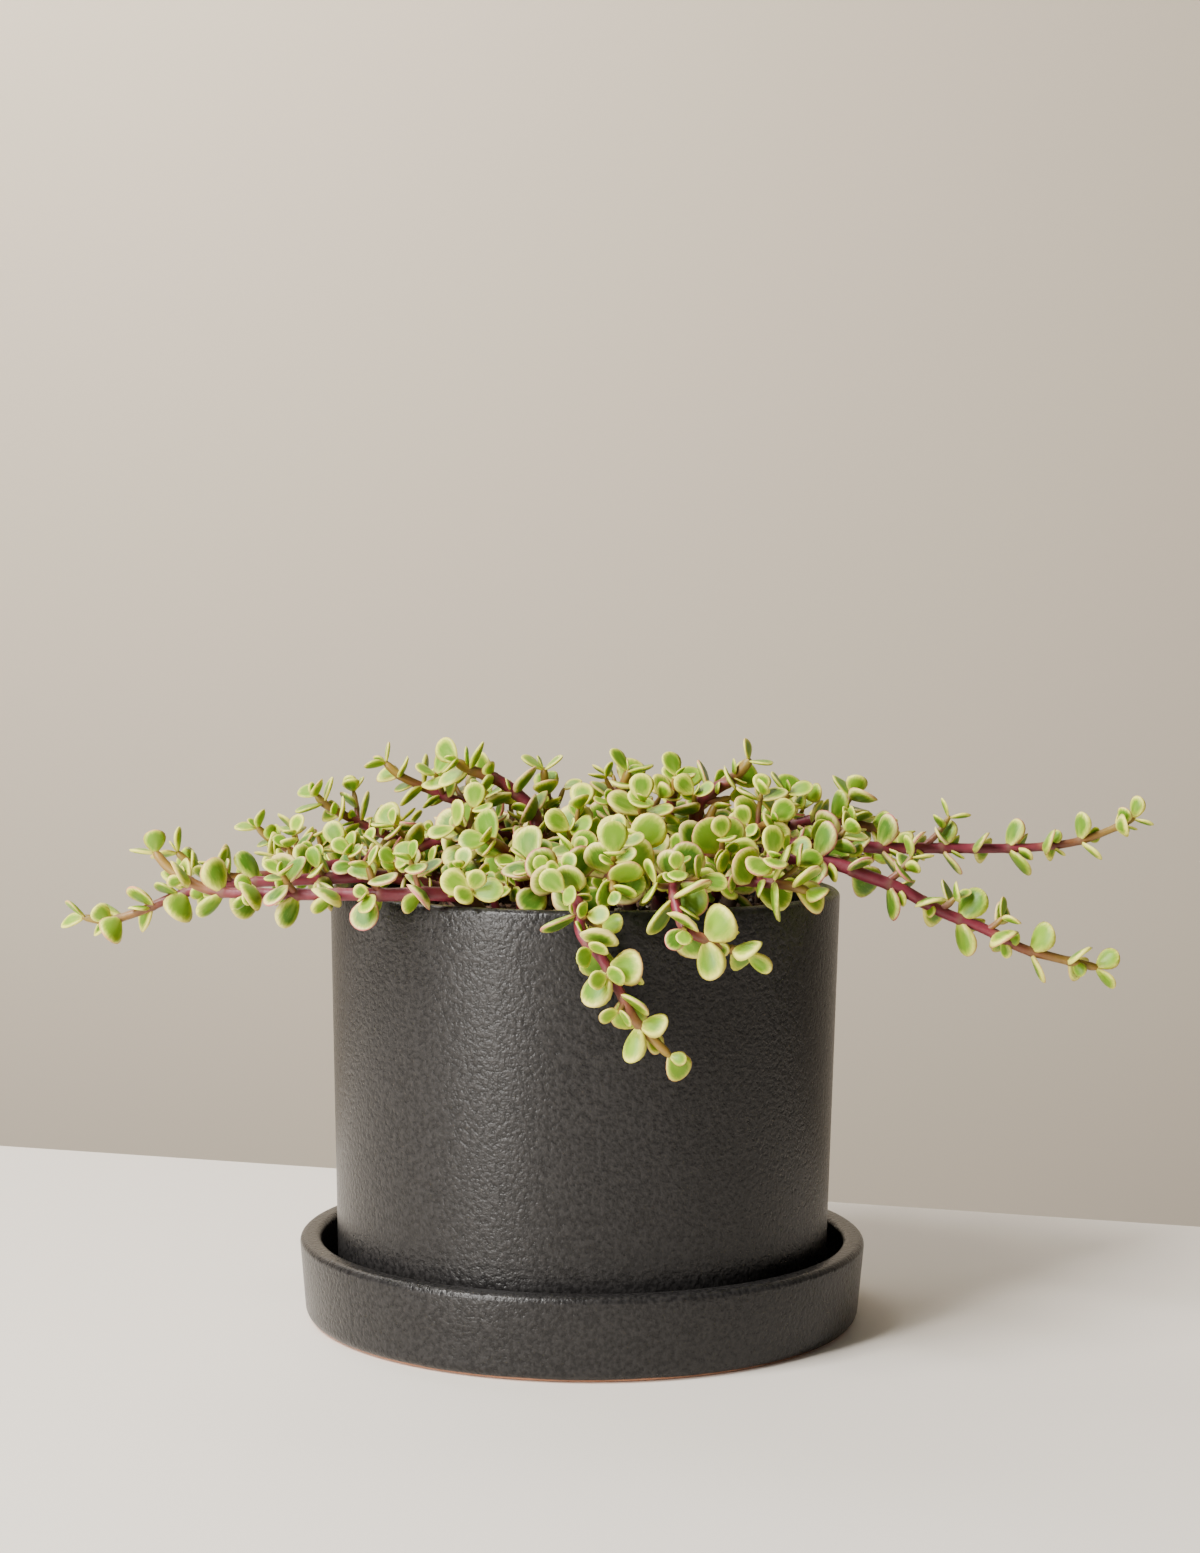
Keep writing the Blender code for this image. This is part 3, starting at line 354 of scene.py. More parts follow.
class Bush:
    """All the stems and leaves placed so far, with the tests that keep them clear of each other."""

    def __init__(self):
        self.lines, self.tubes, self.nodes = {}, [], {}
        self.tube_boxes = np.zeros((0, 2, 3))
        self.leaves = []
        self.points = np.zeros((MOST_LEAVES, TEST_ROWS * 5, 3))
        self.roots = np.zeros((MOST_LEAVES, 3))
        self.axes = np.zeros((MOST_LEAVES, 3, 3))
        self.sizes = np.zeros((MOST_LEAVES, 4))

    def add_line(self, name, line, radius):
        """Takes in a stem or one of its shoots, and gives back its name and number."""
        lines = self.lines.setdefault(name, [])
        own = (name, len(lines))
        lines.append((line, radius))
        self.tubes.append((own, line, radius))
        pad = radius + NEAR_STEM
        box = (line.points.min(0) - pad, line.points.max(0) + pad)
        self.tube_boxes = np.concatenate([self.tube_boxes, [box]])
        return own

    def clear_of_pot(self, points, margin):
        for x, y, z in points:
            radius = math.hypot(x, y)
            if z > POT_RIM_HEIGHT + margin or radius > pot_outer_radius(z) + margin:
                continue
            if radius > pot_inner_radius(z) - margin or z < soil_top(radius) + margin:
                return False
        return True

    def clear_of_stems(self, points, own, margin):
        """Whether the points keep the margin from every stem and shoot but their own."""
        lows, highs = self.tube_boxes[:, 0], self.tube_boxes[:, 1]
        reached = (points.min(0) <= highs).all(1) & (points.max(0) >= lows).all(1)
        for index in np.flatnonzero(reached):
            name, line, radius = self.tubes[index]
            gaps = np.linalg.norm(points[:, None] - line.points[None], axis=2)
            if name != own and gaps.min() < radius + margin:
                return False
        return True

    @staticmethod
    def inside(points, roots, axes, sizes, bare, slack):
        """Whether any point lies inside a blade with these axes and sizes, grown by the slack."""
        local = np.einsum("nkj,nij->nki", points - roots[:, None], axes)
        length, width, thick = sizes[:, 0:1], sizes[:, 1:2], sizes[:, 2:3]
        along = local[:, :, 0] - BLADE_WIDEST * length
        x = along / (np.where(along > 0, BLADE_END, BLADE_WIDEST) * length + slack)
        y = local[:, :, 1] / (width / 2 + slack)
        cup = LEAF_CUP * 4 * local[:, :, 1] ** 2 / width
        z = np.abs(local[:, :, 2] - cup) < thick * 0.5 + slack
        return ((x * x + y * y < 1) & z & (local[:, :, 0] > bare)).any()

    def clear_of_leaves(self, leaf, points):
        apart = np.linalg.norm(self.roots[:len(self.leaves)] - leaf.root, axis=1)
        near = np.flatnonzero(apart < NEAR_LEAF)
        if not len(near):
            return True
        roots, axes, sizes = self.roots[near], self.axes[near], self.sizes[near]
        slack = leaf.thick / 2 + CLEAR_OF_LEAF
        spread = np.repeat(points[None], len(roots), axis=0)
        if self.inside(spread, roots, axes, sizes, sizes[:, 3:4], slack):
            return False
        others = self.points[near].reshape(1, -1, 3)
        own = np.array([[leaf.length, leaf.width, leaf.thick]])
        slack = float(sizes[:, 2].max()) / 2 + CLEAR_OF_LEAF
        return not self.inside(others, leaf.root[None], leaf.axes[None], own, leaf.bare, slack)

    def try_leaf(self, leaf, own):
        points = leaf.samples()
        if not self.clear_of_pot(points, CLEAR_OF_POT + leaf.thick / 2):
            return False
        if not self.clear_of_stems(points, own, leaf.thick * CLEAR_THICK_SHARE + CLEAR_OF_STEM):
            return False
        if not self.clear_of_leaves(leaf, points):
            return False
        number = len(self.leaves)
        self.leaves.append((own, leaf))
        self.points[number] = points
        self.roots[number] = leaf.root
        self.axes[number] = leaf.axes
        self.sizes[number] = (leaf.length, leaf.width, leaf.thick, leaf.bare)
        return True


# The ways that a leaf may give to its neighbours: added turn, added lean and share of its size
YIELDS = ((0, 0, 1.0), (16, 0, 1.0), (-16, 0, 1.0), (0, -14, 0.95), (0, 12, 0.95), (32, 0, 0.9),
          (-32, 0, 0.9), (20, -18, 0.85), (-20, -18, 0.85), (0, -30, 0.8), (0, 0, 0.72))


def place_pair(bush, own, line, distance, turn, lean, length, radius, age, chance):
    """One opposite pair of leaves. A leaf that would cross something is turned, or left out."""
    for half in (0, 180):
        share = between(*LEAF_WIDTH_SHARE, chance.random())
        twist, wobble = (chance.uniform(-stray, stray) for stray in (TWIST_STRAY, PAIR_STRAY))
        size = length * chance.uniform(*LENGTH_STRAY)
        for more_turn, more_lean, scale in YIELDS:
            leaf = Leaf(line, distance, turn + half + wobble + more_turn, lean + more_lean, size * scale,
                        share, twist, radius, age)
            if bush.try_leaf(leaf, own):
                break


def place_leaves(bush, own, line, facts, radius_at, chance):
    """Leaf pairs along one line, each a quarter turn on from the last, and a closed tip."""
    distance, turn = facts["first"], facts["turn"]
    while distance < line.length - 0.5 * facts["gap"][1]:
        age = (distance - facts["first"]) / max(1.0, line.length - facts["first"])
        start, middle, end = facts["leaf"]
        length = between(start, middle, age * 2) if age < 0.5 else between(middle, end, age * 2 - 1)
        lean = between(*LEAF_LEAN, age) + chance.uniform(-LEAN_STRAY, LEAN_STRAY)
        bush.nodes.setdefault(own, []).append(distance)
        x, y, z = line.at(distance)[0]
        if z > BARE_BELOW or math.hypot(x, y) > POT_RIM_RADIUS:
            place_pair(bush, own, line, distance, turn, lean, length, radius_at(distance), age, chance)
        distance += between(*facts["gap"], age)
        turn += 90 + chance.uniform(-TURN_STRAY, TURN_STRAY)
    place_pair(bush, own, line, line.length - TIP_BACK, turn, TIP_LEAN, facts["leaf"][2] * TIP_SHARE,
               radius_at(line.length), 1, chance)


def side_shoot(main, share, turn, lean, length):
    """The line of a shoot that leaves a stem at a share of its length, and bends up."""
    start, way = main.at(share * main.length)
    lean = math.radians(lean)
    out = math.cos(lean) * way + math.sin(lean) * main.outward(way, turn)
    middle = start + out * length * 0.5
    return Line(start, (middle, middle + unit(out + SHOOT_RISE * UP) * length * 0.5), out)


def grow():
    """Lays out every stem, shoot and leaf of the bush, in millimetres."""
    bush = Bush()
    for name, facts in STEMS.items():
        x, y = facts["root"]
        main = Line((x, y, soil_top(math.hypot(x, y))), facts["route"], UP)
        bush.add_line(name, main, max(facts["thick"]) / 2)
        for share, turn, lean, length in facts.get("shoots", ()):
            thick = between(*facts["thick"], share) * SHOOT_THICK_SHARE
            bush.add_line(name, side_shoot(main, share, turn, lean, length), thick / 2)
    for number, (name, facts) in enumerate(STEMS.items()):
        chance = random.Random(GROWTH_SEED + number)
        for index, (line, _) in enumerate(bush.lines[name]):
            if index == 0:
                own_facts, thick = facts, facts["thick"]
            else:
                own_facts = {"first": line.length * SHOOT_FIRST, "turn": 90 * index, "gap": SHOOT_GAP,
                             "leaf": [facts["leaf"][1] * share for share in SHOOT_LEAF]}
                thick = (facts["thick"][1],) * 2
            place_leaves(bush, (name, index), line, own_facts,
                         lambda d, line=line, thick=thick: between(*thick, d / line.length) / 2, chance)
    return bush


# The short shoots that close the head, and the shorter ones on the stems that hang in front: how far out
# and how low they may start, how far they may point down, their lengths and their leaves' lengths
HEAD_SHOOT = {"reach": 98, "floor": 141.0, "droop": -0.15, "length": (4.0, 13.0), "leaf": (9.5, 13.5)}
HANGING_SHOOT = {"reach": 104, "floor": 104.0, "droop": -0.8, "length": (3.5, 5.5), "leaf": (9.0, 12.5)}
HANGS_BEFORE = -84.0
FILL_CEILING = 170.0
FILL_AT_NODE = 3
FILL_LEAST = 2
FILL_TURN = 30
FILL_SWAY = 12
FILL_SLANT = (0.2, 0.8)
FILL_TO_LIGHT = 0.6
FILL_THICK = 1.9
FILL_GAP = (4.2, 3.8)
FILL_FIRST, FILL_FIRST_SHARE = 2.6, 0.45
FILL_TIP_SHARE = 0.9
NODE_TO_FORK = 1.2
BLADE_MARGIN = 1.0
BURIED = 2.4

# The small leaves in the forks and the bud at each tip: how many forks have them, where they stand, their
# lengths in millimetres, their lean in degrees, the stem's radius there, and their age
FORK_SHARE = 0.8
FORK_FLOOR = BARE_BELOW - 6
FORK_OFFSET = (0.8, 3.2)
FORK_LEAF = (5.5, 8.5)
FORK_LEAN, FORK_RADIUS, FORK_AGE = 48, 1.5, 0.8
BUD_BACK, BUD_LEAF = 0.3, 5.5
BUD_LEAN, BUD_RADIUS, BUD_AGE = 18, 1.0, 1.0


def way_is_free(bush, shoot, radius, own):
    """Whether a new shoot misses every blade, every other stem, the pot and the soil."""
    points = shoot.points[shoot.reach > radius + BURIED]
    if not bush.clear_of_pot(points, radius + CLEAR_OF_POT):
        return False
    if not bush.clear_of_stems(points, own, radius + CLEAR_OF_STEM):
        return False
    count = len(bush.leaves)
    near = np.linalg.norm(bush.roots[:count] - shoot.points[0], axis=1) < NEAR_LEAF
    blades = bush.points[:count][near].reshape(1, -1, 3)
    gaps = np.linalg.norm(points[:, None] - blades, axis=2)
    return not gaps.size or gaps.min() > radius + BLADE_MARGIN


def take_back(bush, own, first_leaf):
    """Removes the last shoot, with the leaves from that number on."""
    del bush.leaves[first_leaf:]
    bush.lines[own[0]].pop()
    bush.tubes.pop()
    bush.tube_boxes = bush.tube_boxes[:-1]
    bush.nodes.pop(own, None)


def fill_fork(bush, name, main, distance, chance):
    """Short side shoots at one node of a stem, those that face the light first."""
    start, way = main.at(min(main.length - 1, distance + NODE_TO_FORK))
    kind = HANGING_SHOOT if start[1] < HANGS_BEFORE else HEAD_SHOOT
    if math.hypot(start[0], start[1]) > kind["reach"] or not kind["floor"] < start[2] < FILL_CEILING:
        return
    light = to_light(start)
    placed = 0
    for turn in sorted(range(0, 360, FILL_TURN), key=lambda turn: -float(main.outward(way, turn) @ light)):
        length, size = chance.uniform(*kind["length"]), chance.uniform(*kind["leaf"])
        sway = chance.uniform(-FILL_SWAY, FILL_SWAY)
        out = unit(main.outward(way, turn + sway) + way * chance.uniform(*FILL_SLANT))
        middle = start + out * length * 0.5
        shoot = Line(start, (middle, middle + unit(out + FILL_TO_LIGHT * light) * length * 0.5), out)
        if out @ UP < kind["droop"] or not way_is_free(bush, shoot, FILL_THICK / 2, (name, 0)):
            continue
        own, first_leaf = bush.add_line(name, shoot, FILL_THICK / 2), len(bush.leaves)
        first = min(length - 1, max(FILL_FIRST, length * FILL_FIRST_SHARE))
        facts = {"first": first, "turn": chance.uniform(0, 90), "gap": FILL_GAP,
                 "leaf": (size, size, size * FILL_TIP_SHARE)}
        place_leaves(bush, own, shoot, facts, lambda d: FILL_THICK / 2, chance)
        if len(bush.leaves) - first_leaf < FILL_LEAST:
            take_back(bush, own, first_leaf)
            continue
        placed += 1
        if placed == FILL_AT_NODE:
            return


def more_leaves(bush):
    """Adds what the solids leave out: short shoots in the head, small leaves in the forks, closer tips."""
    for number, name in enumerate(STEMS):
        chance = random.Random(FILL_SEED + number)
        for distance in bush.nodes.get((name, 0), []):
            fill_fork(bush, name, bush.lines[name][0][0], distance, chance)
    for number, (name, facts) in enumerate(STEMS.items()):
        chance = random.Random(FORK_SEED + number)
        for index, (line, _) in enumerate(bush.lines[name]):
            own, turn = (name, index), facts["turn"] + 45
            for distance in bush.nodes.get(own, []):
                x, y, z = line.at(distance)[0]
                if z > FORK_FLOOR or math.hypot(x, y) > POT_RIM_RADIUS:
                    for fork in (turn, turn + 45):
                        if chance.random() < FORK_SHARE:
                            spot = distance + chance.uniform(*FORK_OFFSET)
                            place_pair(bush, own, line, spot, fork, FORK_LEAN, chance.uniform(*FORK_LEAF),
                                       FORK_RADIUS, FORK_AGE, chance)
                turn += 90
            place_pair(bush, own, line, line.length - BUD_BACK, turn, BUD_LEAN, BUD_LEAF, BUD_RADIUS,
                       BUD_AGE, chance)


def new_mesh(name, points, faces, edges=()):
    mesh = bpy.data.meshes.new(name)
    mesh.from_pydata([tuple(p) for p in points], list(edges), faces)
    return mesh


def new_object(name, data):
    obj = bpy.data.objects.new(name, data)
    bpy.context.scene.collection.objects.link(obj)
    return obj


def point_values(mesh, name, values, kind="FLOAT"):
    """Stores one value, or one vector, for each point of a mesh."""
    layer = mesh.attributes.new(name, kind, "POINT")
    key = "value" if kind == "FLOAT" else "vector"
    layer.data.foreach_set(key, np.array(values, np.float32).ravel())


class Tree:
    """A node tree that is written as calls."""

    def __init__(self, tree):
        self.tree = tree

    def add(self, kind, settings=(), **sockets):
        """Adds a node. A socket is named by its label with _ for a space, or by its place as in0 or in1."""
        node = self.tree.nodes.new(kind)
        for key, value in dict(settings).items():
            setattr(node, key, value)
        for key, value in sockets.items():
            index = int(key[2:]) if key[:2] == "in" and key[2:].isdigit() else None
            self.give(node.inputs[key.replace("_", " ") if index is None else index], value)
        return node

    def give(self, socket, value):
        """Links a value to a socket, or sets it there."""
        if isinstance(value, Val):
            value = value.socket
        if isinstance(value, bpy.types.NodeSocket):
            self.tree.links.new(value, socket)
        else:
            socket.default_value = value


class Val:
    """A number socket whose operators add Math nodes."""

    def __init__(self, tree, socket):
        self.tree, self.socket = tree, socket

    def math(self, operation, *others):
        values = {f"in{i}": other for i, other in enumerate((self, *others))}
        return Val(self.tree, self.tree.add("ShaderNodeMath", {"operation": operation}, **values).outputs[0])

    def __add__(self, other):
        return self.math("ADD", other)

    __radd__ = __add__

    def __mul__(self, other):
        return self.math("MULTIPLY", other)

    __rmul__ = __mul__

    def __sub__(self, other):
        return self.math("SUBTRACT", other)

    def __rsub__(self, other):
        return (self * -1.0) + other

    def __truediv__(self, other):
        return self.math("DIVIDE", other)

    def root(self):
        return self.math("SQRT")

    def most(self, other):
        return self.math("MAXIMUM", other)

    def least(self, other):
        return self.math("MINIMUM", other)


class Finish(Tree):
    """A material: its Principled shader, with the nodes that feed it."""

    def __init__(self, name, **constants):
        self.material = bpy.data.materials.new(name)
        self.material.use_nodes = True
        super().__init__(self.material.node_tree)
        self.shader = self.tree.nodes["Principled BSDF"]
        for key, value in constants.items():
            self.shader.inputs[key.replace("_", " ")].default_value = value

    def place(self):
        return self.add("ShaderNodeTexCoord").outputs["Object"]

    def attribute(self, name, output="Fac"):
        return Val(self, self.add("ShaderNodeAttribute", {"attribute_name": name}).outputs[output])

    def noise(self, scale, detail, roughness, place):
        node = self.add("ShaderNodeTexNoise", {}, Scale=scale, Detail=detail, Roughness=roughness,
                        Vector=place)
        return Val(self, node.outputs["Fac"])

    def mix(self, factor, low, high):
        """A colour between two, each a socket or a colour without alpha."""
        node = self.add("ShaderNodeMix", {"data_type": "RGBA"}, in0=factor)
        for index, value in ((6, low), (7, high)):
            self.give(node.inputs[index], (*value, 1) if isinstance(value, tuple) else value)
        return node.outputs[2]

    def smooth(self, value, low, high):
        node = self.add("ShaderNodeMapRange", {"interpolation_type": "SMOOTHSTEP"}, Value=value,
                        From_Min=low, From_Max=high)
        return Val(self, node.outputs["Result"])

    def bump(self, height, distance, strength, under=None):
        sockets = {} if under is None else {"Normal": under}
        node = self.add("ShaderNodeBump", {}, Height=height, Distance=distance, Strength=strength, **sockets)
        return node.outputs["Normal"]

    def feed(self, **sockets):
        """Links what varies to the shader, and gives back the material."""
        for key, value in sockets.items():
            self.give(self.shader.inputs[key.replace("_", " ")], value)
        return self.material


# The leaf's colours; a pair runs from dark to light, or from old to young
DEEP_GREEN = ((0.040, 0.120, 0.007), (0.085, 0.200, 0.014))
FRESH_GREEN = ((0.115, 0.260, 0.008), (0.205, 0.360, 0.015))
VEIN_GREEN = (0.190, 0.330, 0.045)
LIME = ((0.290, 0.390, 0.038), (0.400, 0.500, 0.038))
CREAM = ((0.760, 0.640, 0.220), (0.760, 0.740, 0.120))
# A painted highlight: a lighter green laid along the middle of a leaf's lower half
KEEL_PAINTED_HIGHLIGHT = (0.420, 0.520, 0.070)
PINK_EDGE = (0.560, 0.080, 0.140)
PALE_FOOT = (0.560, 0.540, 0.090)
BROWN_DOTS = (0.200, 0.110, 0.050)

# The stem's, the glaze's and the soil's colours, as dark and light pairs
WINE_RED = ((0.085, 0.008, 0.018), (0.230, 0.030, 0.050))
BARK_BROWN = ((0.035, 0.020, 0.014), (0.120, 0.075, 0.045))
YOUNG_STEM = ((0.230, 0.210, 0.025), (0.280, 0.120, 0.030))
LEAF_SCAR = (0.150, 0.085, 0.045)
CHARCOAL = ((0.0080, 0.0075, 0.0075), (0.0220, 0.0206, 0.0202))
CHARCOAL_CLOUD = (0.024, 0.0225, 0.022)
BARE_CLAY = (0.480, 0.230, 0.130)
EARTH = ((0.014, 0.009, 0.006), (0.060, 0.036, 0.022))
EARTH_FLECKS = (0.150, 0.095, 0.055)
CRUMB_BROWN = ((0.020, 0.012, 0.008), (0.120, 0.070, 0.040))
CRUMB_PALE = (0.520, 0.480, 0.410)
CRUMB_STAIN = (0.050, 0.030, 0.020)

# A leaf's own shape, 1 long and 1 wide: where it is widest, how narrow its foot is, and its sections
LEAF_WIDEST = 0.60
LEAF_WAIST = 0.50
LEAF_STATIONS = (0.03, 0.13, 0.28, 0.44, 0.60, 0.75, 0.87, 0.955, 0.992)
LEAF_SECTION = 8
LEAF_DOME = 0.8
LEAF_FULL = 0.95
LEAF_DISH = 1.5


def leaf_finish():
    """Green middle, cream margin and, on older leaves, a thin pink edge."""
    f = Finish("variegated leaf", Subsurface_Weight=0.06, Subsurface_Scale=0.002, Specular_IOR_Level=0.30)
    f.shader.inputs["Subsurface Radius"].default_value = (0.9, 1.0, 0.4)
    parts = f.add("ShaderNodeSeparateXYZ", {}, Vector=f.attribute("blade", "Vector"))
    u, v = Val(f, parts.outputs[0]), Val(f, parts.outputs[1])
    tone, age, green, blush = (f.attribute(name) for name in ("tone", "age", "green", "blush"))
    # The distance from the middle, by the leaf's own outline: 0 in the middle and 1 at the edge
    before = ((LEAF_WIDEST - u) / LEAF_WIDEST).most(0.0)
    after = ((u - LEAF_WIDEST) / (1.0 - LEAF_WIDEST)).most(0.0)
    along = before + after
    across = v / ((1.0 - before * before * LEAF_WAIST) * 0.5)
    rim = (along * along + across * across).root()
    # Each leaf has its own pattern, because its tone moves the noise
    shifted = f.add("ShaderNodeCombineXYZ", {}, X=u * 1.6 + tone * 37.0, Y=v * 5.0 + age * 11.0,
                    Z=tone * 91.0)
    ragged = f.noise(2.2, 3.0, 0.6, shifted.outputs[0]) - 0.5
    streaks = f.noise(7.0, 3.0, 0.7, shifted.outputs[0]) - 0.5
    reach = rim + ragged * 0.42 + streaks * 0.12 - green
    middle = f.mix(f.smooth(age, 0.25, 1.0), f.mix(tone, *DEEP_GREEN), f.mix(tone, *FRESH_GREEN))
    middle = f.mix(f.smooth(ragged + streaks * 0.8, 0.0, 0.34) * 0.55, middle, VEIN_GREEN)
    lime = f.mix(f.smooth(age, 0.2, 1.0), *LIME)
    cream = f.mix(f.smooth(age, 0.1, 0.9), *CREAM)
    colour = f.mix(f.smooth(reach, -0.34, 0.02), middle, lime)
    colour = f.mix(f.smooth(reach, -0.06, 0.17), colour, cream)
    # Painted highlight: a lighter green along the middle of the blade's lower half, where light would glance
    # off the leaf
    keel_painted_highlight = (1.0 - f.smooth(across.math("ABSOLUTE"), 0.0, 0.34)) * (1.0 - f.smooth(u, 0.25, 0.75))
    colour = f.mix(keel_painted_highlight * 0.3, colour, KEEL_PAINTED_HIGHLIGHT)
    pink = f.smooth(rim + streaks * 0.10, 0.90, 0.975) * blush.least(1.0)
    colour = f.mix(pink * 0.85, colour, PINK_EDGE)
    colour = f.mix((1.0 - f.smooth(u, 0.04, 0.20)) * 0.6, colour, PALE_FOOT)
    dots = f.smooth(f.noise(900.0, 2.0, 0.5, f.place()), 0.735, 0.775) * (1.0 - age) * 0.5
    colour = f.mix(dots, colour, BROWN_DOTS)
    pores = f.noise(2600.0, 2.0, 0.6, f.place())
    soft = f.noise(420.0, 2.0, 0.5, f.place())
    return f.feed(Base_Color=colour, Roughness=0.40 + (pores - 0.5) * 0.12 + (1.0 - age) * 0.06,
                  Normal=f.bump(soft * 0.7 + pores * 0.3, 0.00022, 0.5))


def stem_finish():
    """Brown bark at the foot, wine red along the stem and olive green at its tip."""
    f = Finish("stem bark", Specular_IOR_Level=0.4)
    age, ring, place = f.attribute("age"), f.attribute("ring"), f.place()
    grain, blotch = f.noise(700.0, 3.0, 0.6, place), f.noise(160.0, 3.0, 0.6, place)
    wine, bark, young = f.mix(blotch, *WINE_RED), f.mix(grain, *BARK_BROWN), f.mix(blotch, *YOUNG_STEM)
    colour = f.mix(f.smooth(age + (blotch - 0.5) * 0.1, 0.06, 0.16), bark, wine)
    colour = f.mix(f.smooth(age + (blotch - 0.5) * 0.2, 0.72, 1.0), colour, young)
    colour = f.mix(ring * 0.55, colour, LEAF_SCAR)
    rough = 0.42 + (1.0 - f.smooth(age, 0.06, 0.2)) * 0.4 + ring * 0.2
    return f.feed(Base_Color=colour, Roughness=rough, Normal=f.bump(grain * 0.5 + blotch * 0.5, 0.0004, 0.6))


def glaze_finish(name, unglazed_below=None):
    """Charcoal glaze, satin, with a fine hammered grain."""
    f = Finish(name, Specular_IOR_Level=0.24)
    place = f.place()
    grain, fine = f.noise(720.0, 2.0, 0.55, place), f.noise(1700.0, 2.0, 0.6, place)
    cloud = f.noise(36.0, 3.0, 0.55, place)
    colour = f.mix(f.smooth(grain, 0.36, 0.66), *CHARCOAL)
    colour = f.mix(cloud * 0.3, colour, CHARCOAL_CLOUD)
    rough = 0.31 + (grain - 0.5) * 0.26 + (cloud - 0.5) * 0.06
    if unglazed_below is not None:
        height = Val(f, f.add("ShaderNodeSeparateXYZ", {}, Vector=place).outputs[2]) + (cloud - 0.5) * 0.0012
        bare = 1.0 - f.smooth(height, unglazed_below - 0.0004, unglazed_below + 0.0004)
        colour = f.mix(bare, colour, BARE_CLAY)
        rough = rough + bare * 0.35
    return f.feed(Base_Color=colour, Roughness=rough,
                  Normal=f.bump(fine, 0.00006, 0.5, f.bump(grain, 0.00036, 0.9)))


def soil_finish():
    f = Finish("potting soil", Specular_IOR_Level=0.2)
    place = f.place()
    lumps, fine = f.noise(260.0, 4.0, 0.65, place), f.noise(1200.0, 3.0, 0.6, place)
    colour = f.mix(f.smooth(lumps, 0.3, 0.7), *EARTH)
    colour = f.mix(f.smooth(fine, 0.62, 0.74) * 0.7, colour, EARTH_FLECKS)
    return f.feed(Base_Color=colour, Roughness=0.86 + (fine - 0.5) * 0.2,
                  Normal=f.bump(lumps * 0.7 + fine * 0.3, 0.0012, 0.9))


def crumb_finish():
    """Bark chips, crumbs of peat and a few pale grains."""
    f = Finish("soil crumbs", Specular_IOR_Level=0.25)
    tone, fine = f.attribute("tone"), f.noise(1500.0, 3.0, 0.6, f.place())
    colour = f.mix(f.smooth(tone, 0.0, 0.8), *CRUMB_BROWN)
    colour = f.mix(f.smooth(tone, 0.90, 0.93), colour, CRUMB_PALE)
    colour = f.mix(fine * 0.4, colour, CRUMB_STAIN)
    return f.feed(Base_Color=colour, Roughness=0.8 + (fine - 0.5) * 0.2, Normal=f.bump(fine, 0.0004, 0.8))


class Growth(Tree):
    """A geometry tree with named inputs, which ends in real meshes in the material it is given."""

    def __init__(self, name, **inputs):
        super().__init__(bpy.data.node_groups.new(name, "GeometryNodeTree"))
        for label, kind in {"Geometry": "Geometry", **inputs, "Material": "Material"}.items():
            self.tree.interface.new_socket(label, in_out="INPUT", socket_type="NodeSocket" + kind)
        self.tree.interface.new_socket("Geometry", in_out="OUTPUT", socket_type="NodeSocketGeometry")
        self.given = self.add("NodeGroupInput").outputs

    def named(self, name, kind):
        node = self.add("GeometryNodeInputNamedAttribute", {"data_type": kind}, Name=name)
        return node.outputs["Attribute"]

    def stood_on(self, points, thing, turn, size):
        """The thing in the named input, stood on each point with its turn and size."""
        shape = self.add("GeometryNodeObjectInfo", {}, Object=self.given[thing]).outputs["Geometry"]
        euler = self.add("FunctionNodeEulerToRotation", {}, in0=turn).outputs[0]
        node = self.add("GeometryNodeInstanceOnPoints", {}, Points=points, Instance=shape, Rotation=euler,
                        Scale=size)
        return node.outputs["Instances"]

    def close(self, geometry):
        real = self.add("GeometryNodeRealizeInstances", {}, Geometry=geometry)
        done = self.add("GeometryNodeSetMaterial", {}, Geometry=real.outputs["Geometry"],
                        Material=self.given["Material"])
        self.add("NodeGroupOutput", {}, Geometry=done.outputs["Geometry"])
        return self.tree


def grown(name, mesh, tree, inputs):
    """Runs a geometry tree on a mesh and keeps what it makes as a plain mesh."""
    source = new_object(name + "_source", mesh)
    run = source.modifiers.new("grow", "NODES")
    run.node_group = tree
    for item in tree.interface.items_tree:
        if item.in_out == "INPUT" and item.name in inputs:
            run[item.identifier] = inputs[item.name]
    graph = bpy.context.evaluated_depsgraph_get()
    made = bpy.data.meshes.new_from_object(source.evaluated_get(graph))
    made.name = name
    bpy.data.objects.remove(source)
    return new_object(name, made)


def leaves_tree():
    """Stands a leaf on each point, turned and sized by the point's own values."""
    t = Growth("leaves on a stem", Leaf="Object")
    points = t.add("GeometryNodeMeshToPoints", {}, Mesh=t.given["Geometry"]).outputs["Points"]
    turn, size = (t.named(name, "FLOAT_VECTOR") for name in ("turn", "size"))
    return t.close(t.stood_on(points, "Leaf", turn, size))


def wood_tree():
    """Sweeps a round section along each line, as thick as the line's points say."""
    t = Growth("wood of a stem", Sides="Int")
    line = t.add("GeometryNodeMeshToCurve", {}, Mesh=t.given["Geometry"])
    section = t.add("GeometryNodeCurvePrimitiveCircle", {}, Resolution=t.given["Sides"], Radius=1.0)
    tube = t.add("GeometryNodeCurveToMesh", {}, Curve=line.outputs["Curve"], Scale=t.named("thick", "FLOAT"),
                 Profile_Curve=section.outputs["Curve"], Fill_Caps=True)
    return t.close(t.add("GeometryNodeSetShadeSmooth", {}, Geometry=tube.outputs["Mesh"]).outputs["Geometry"])


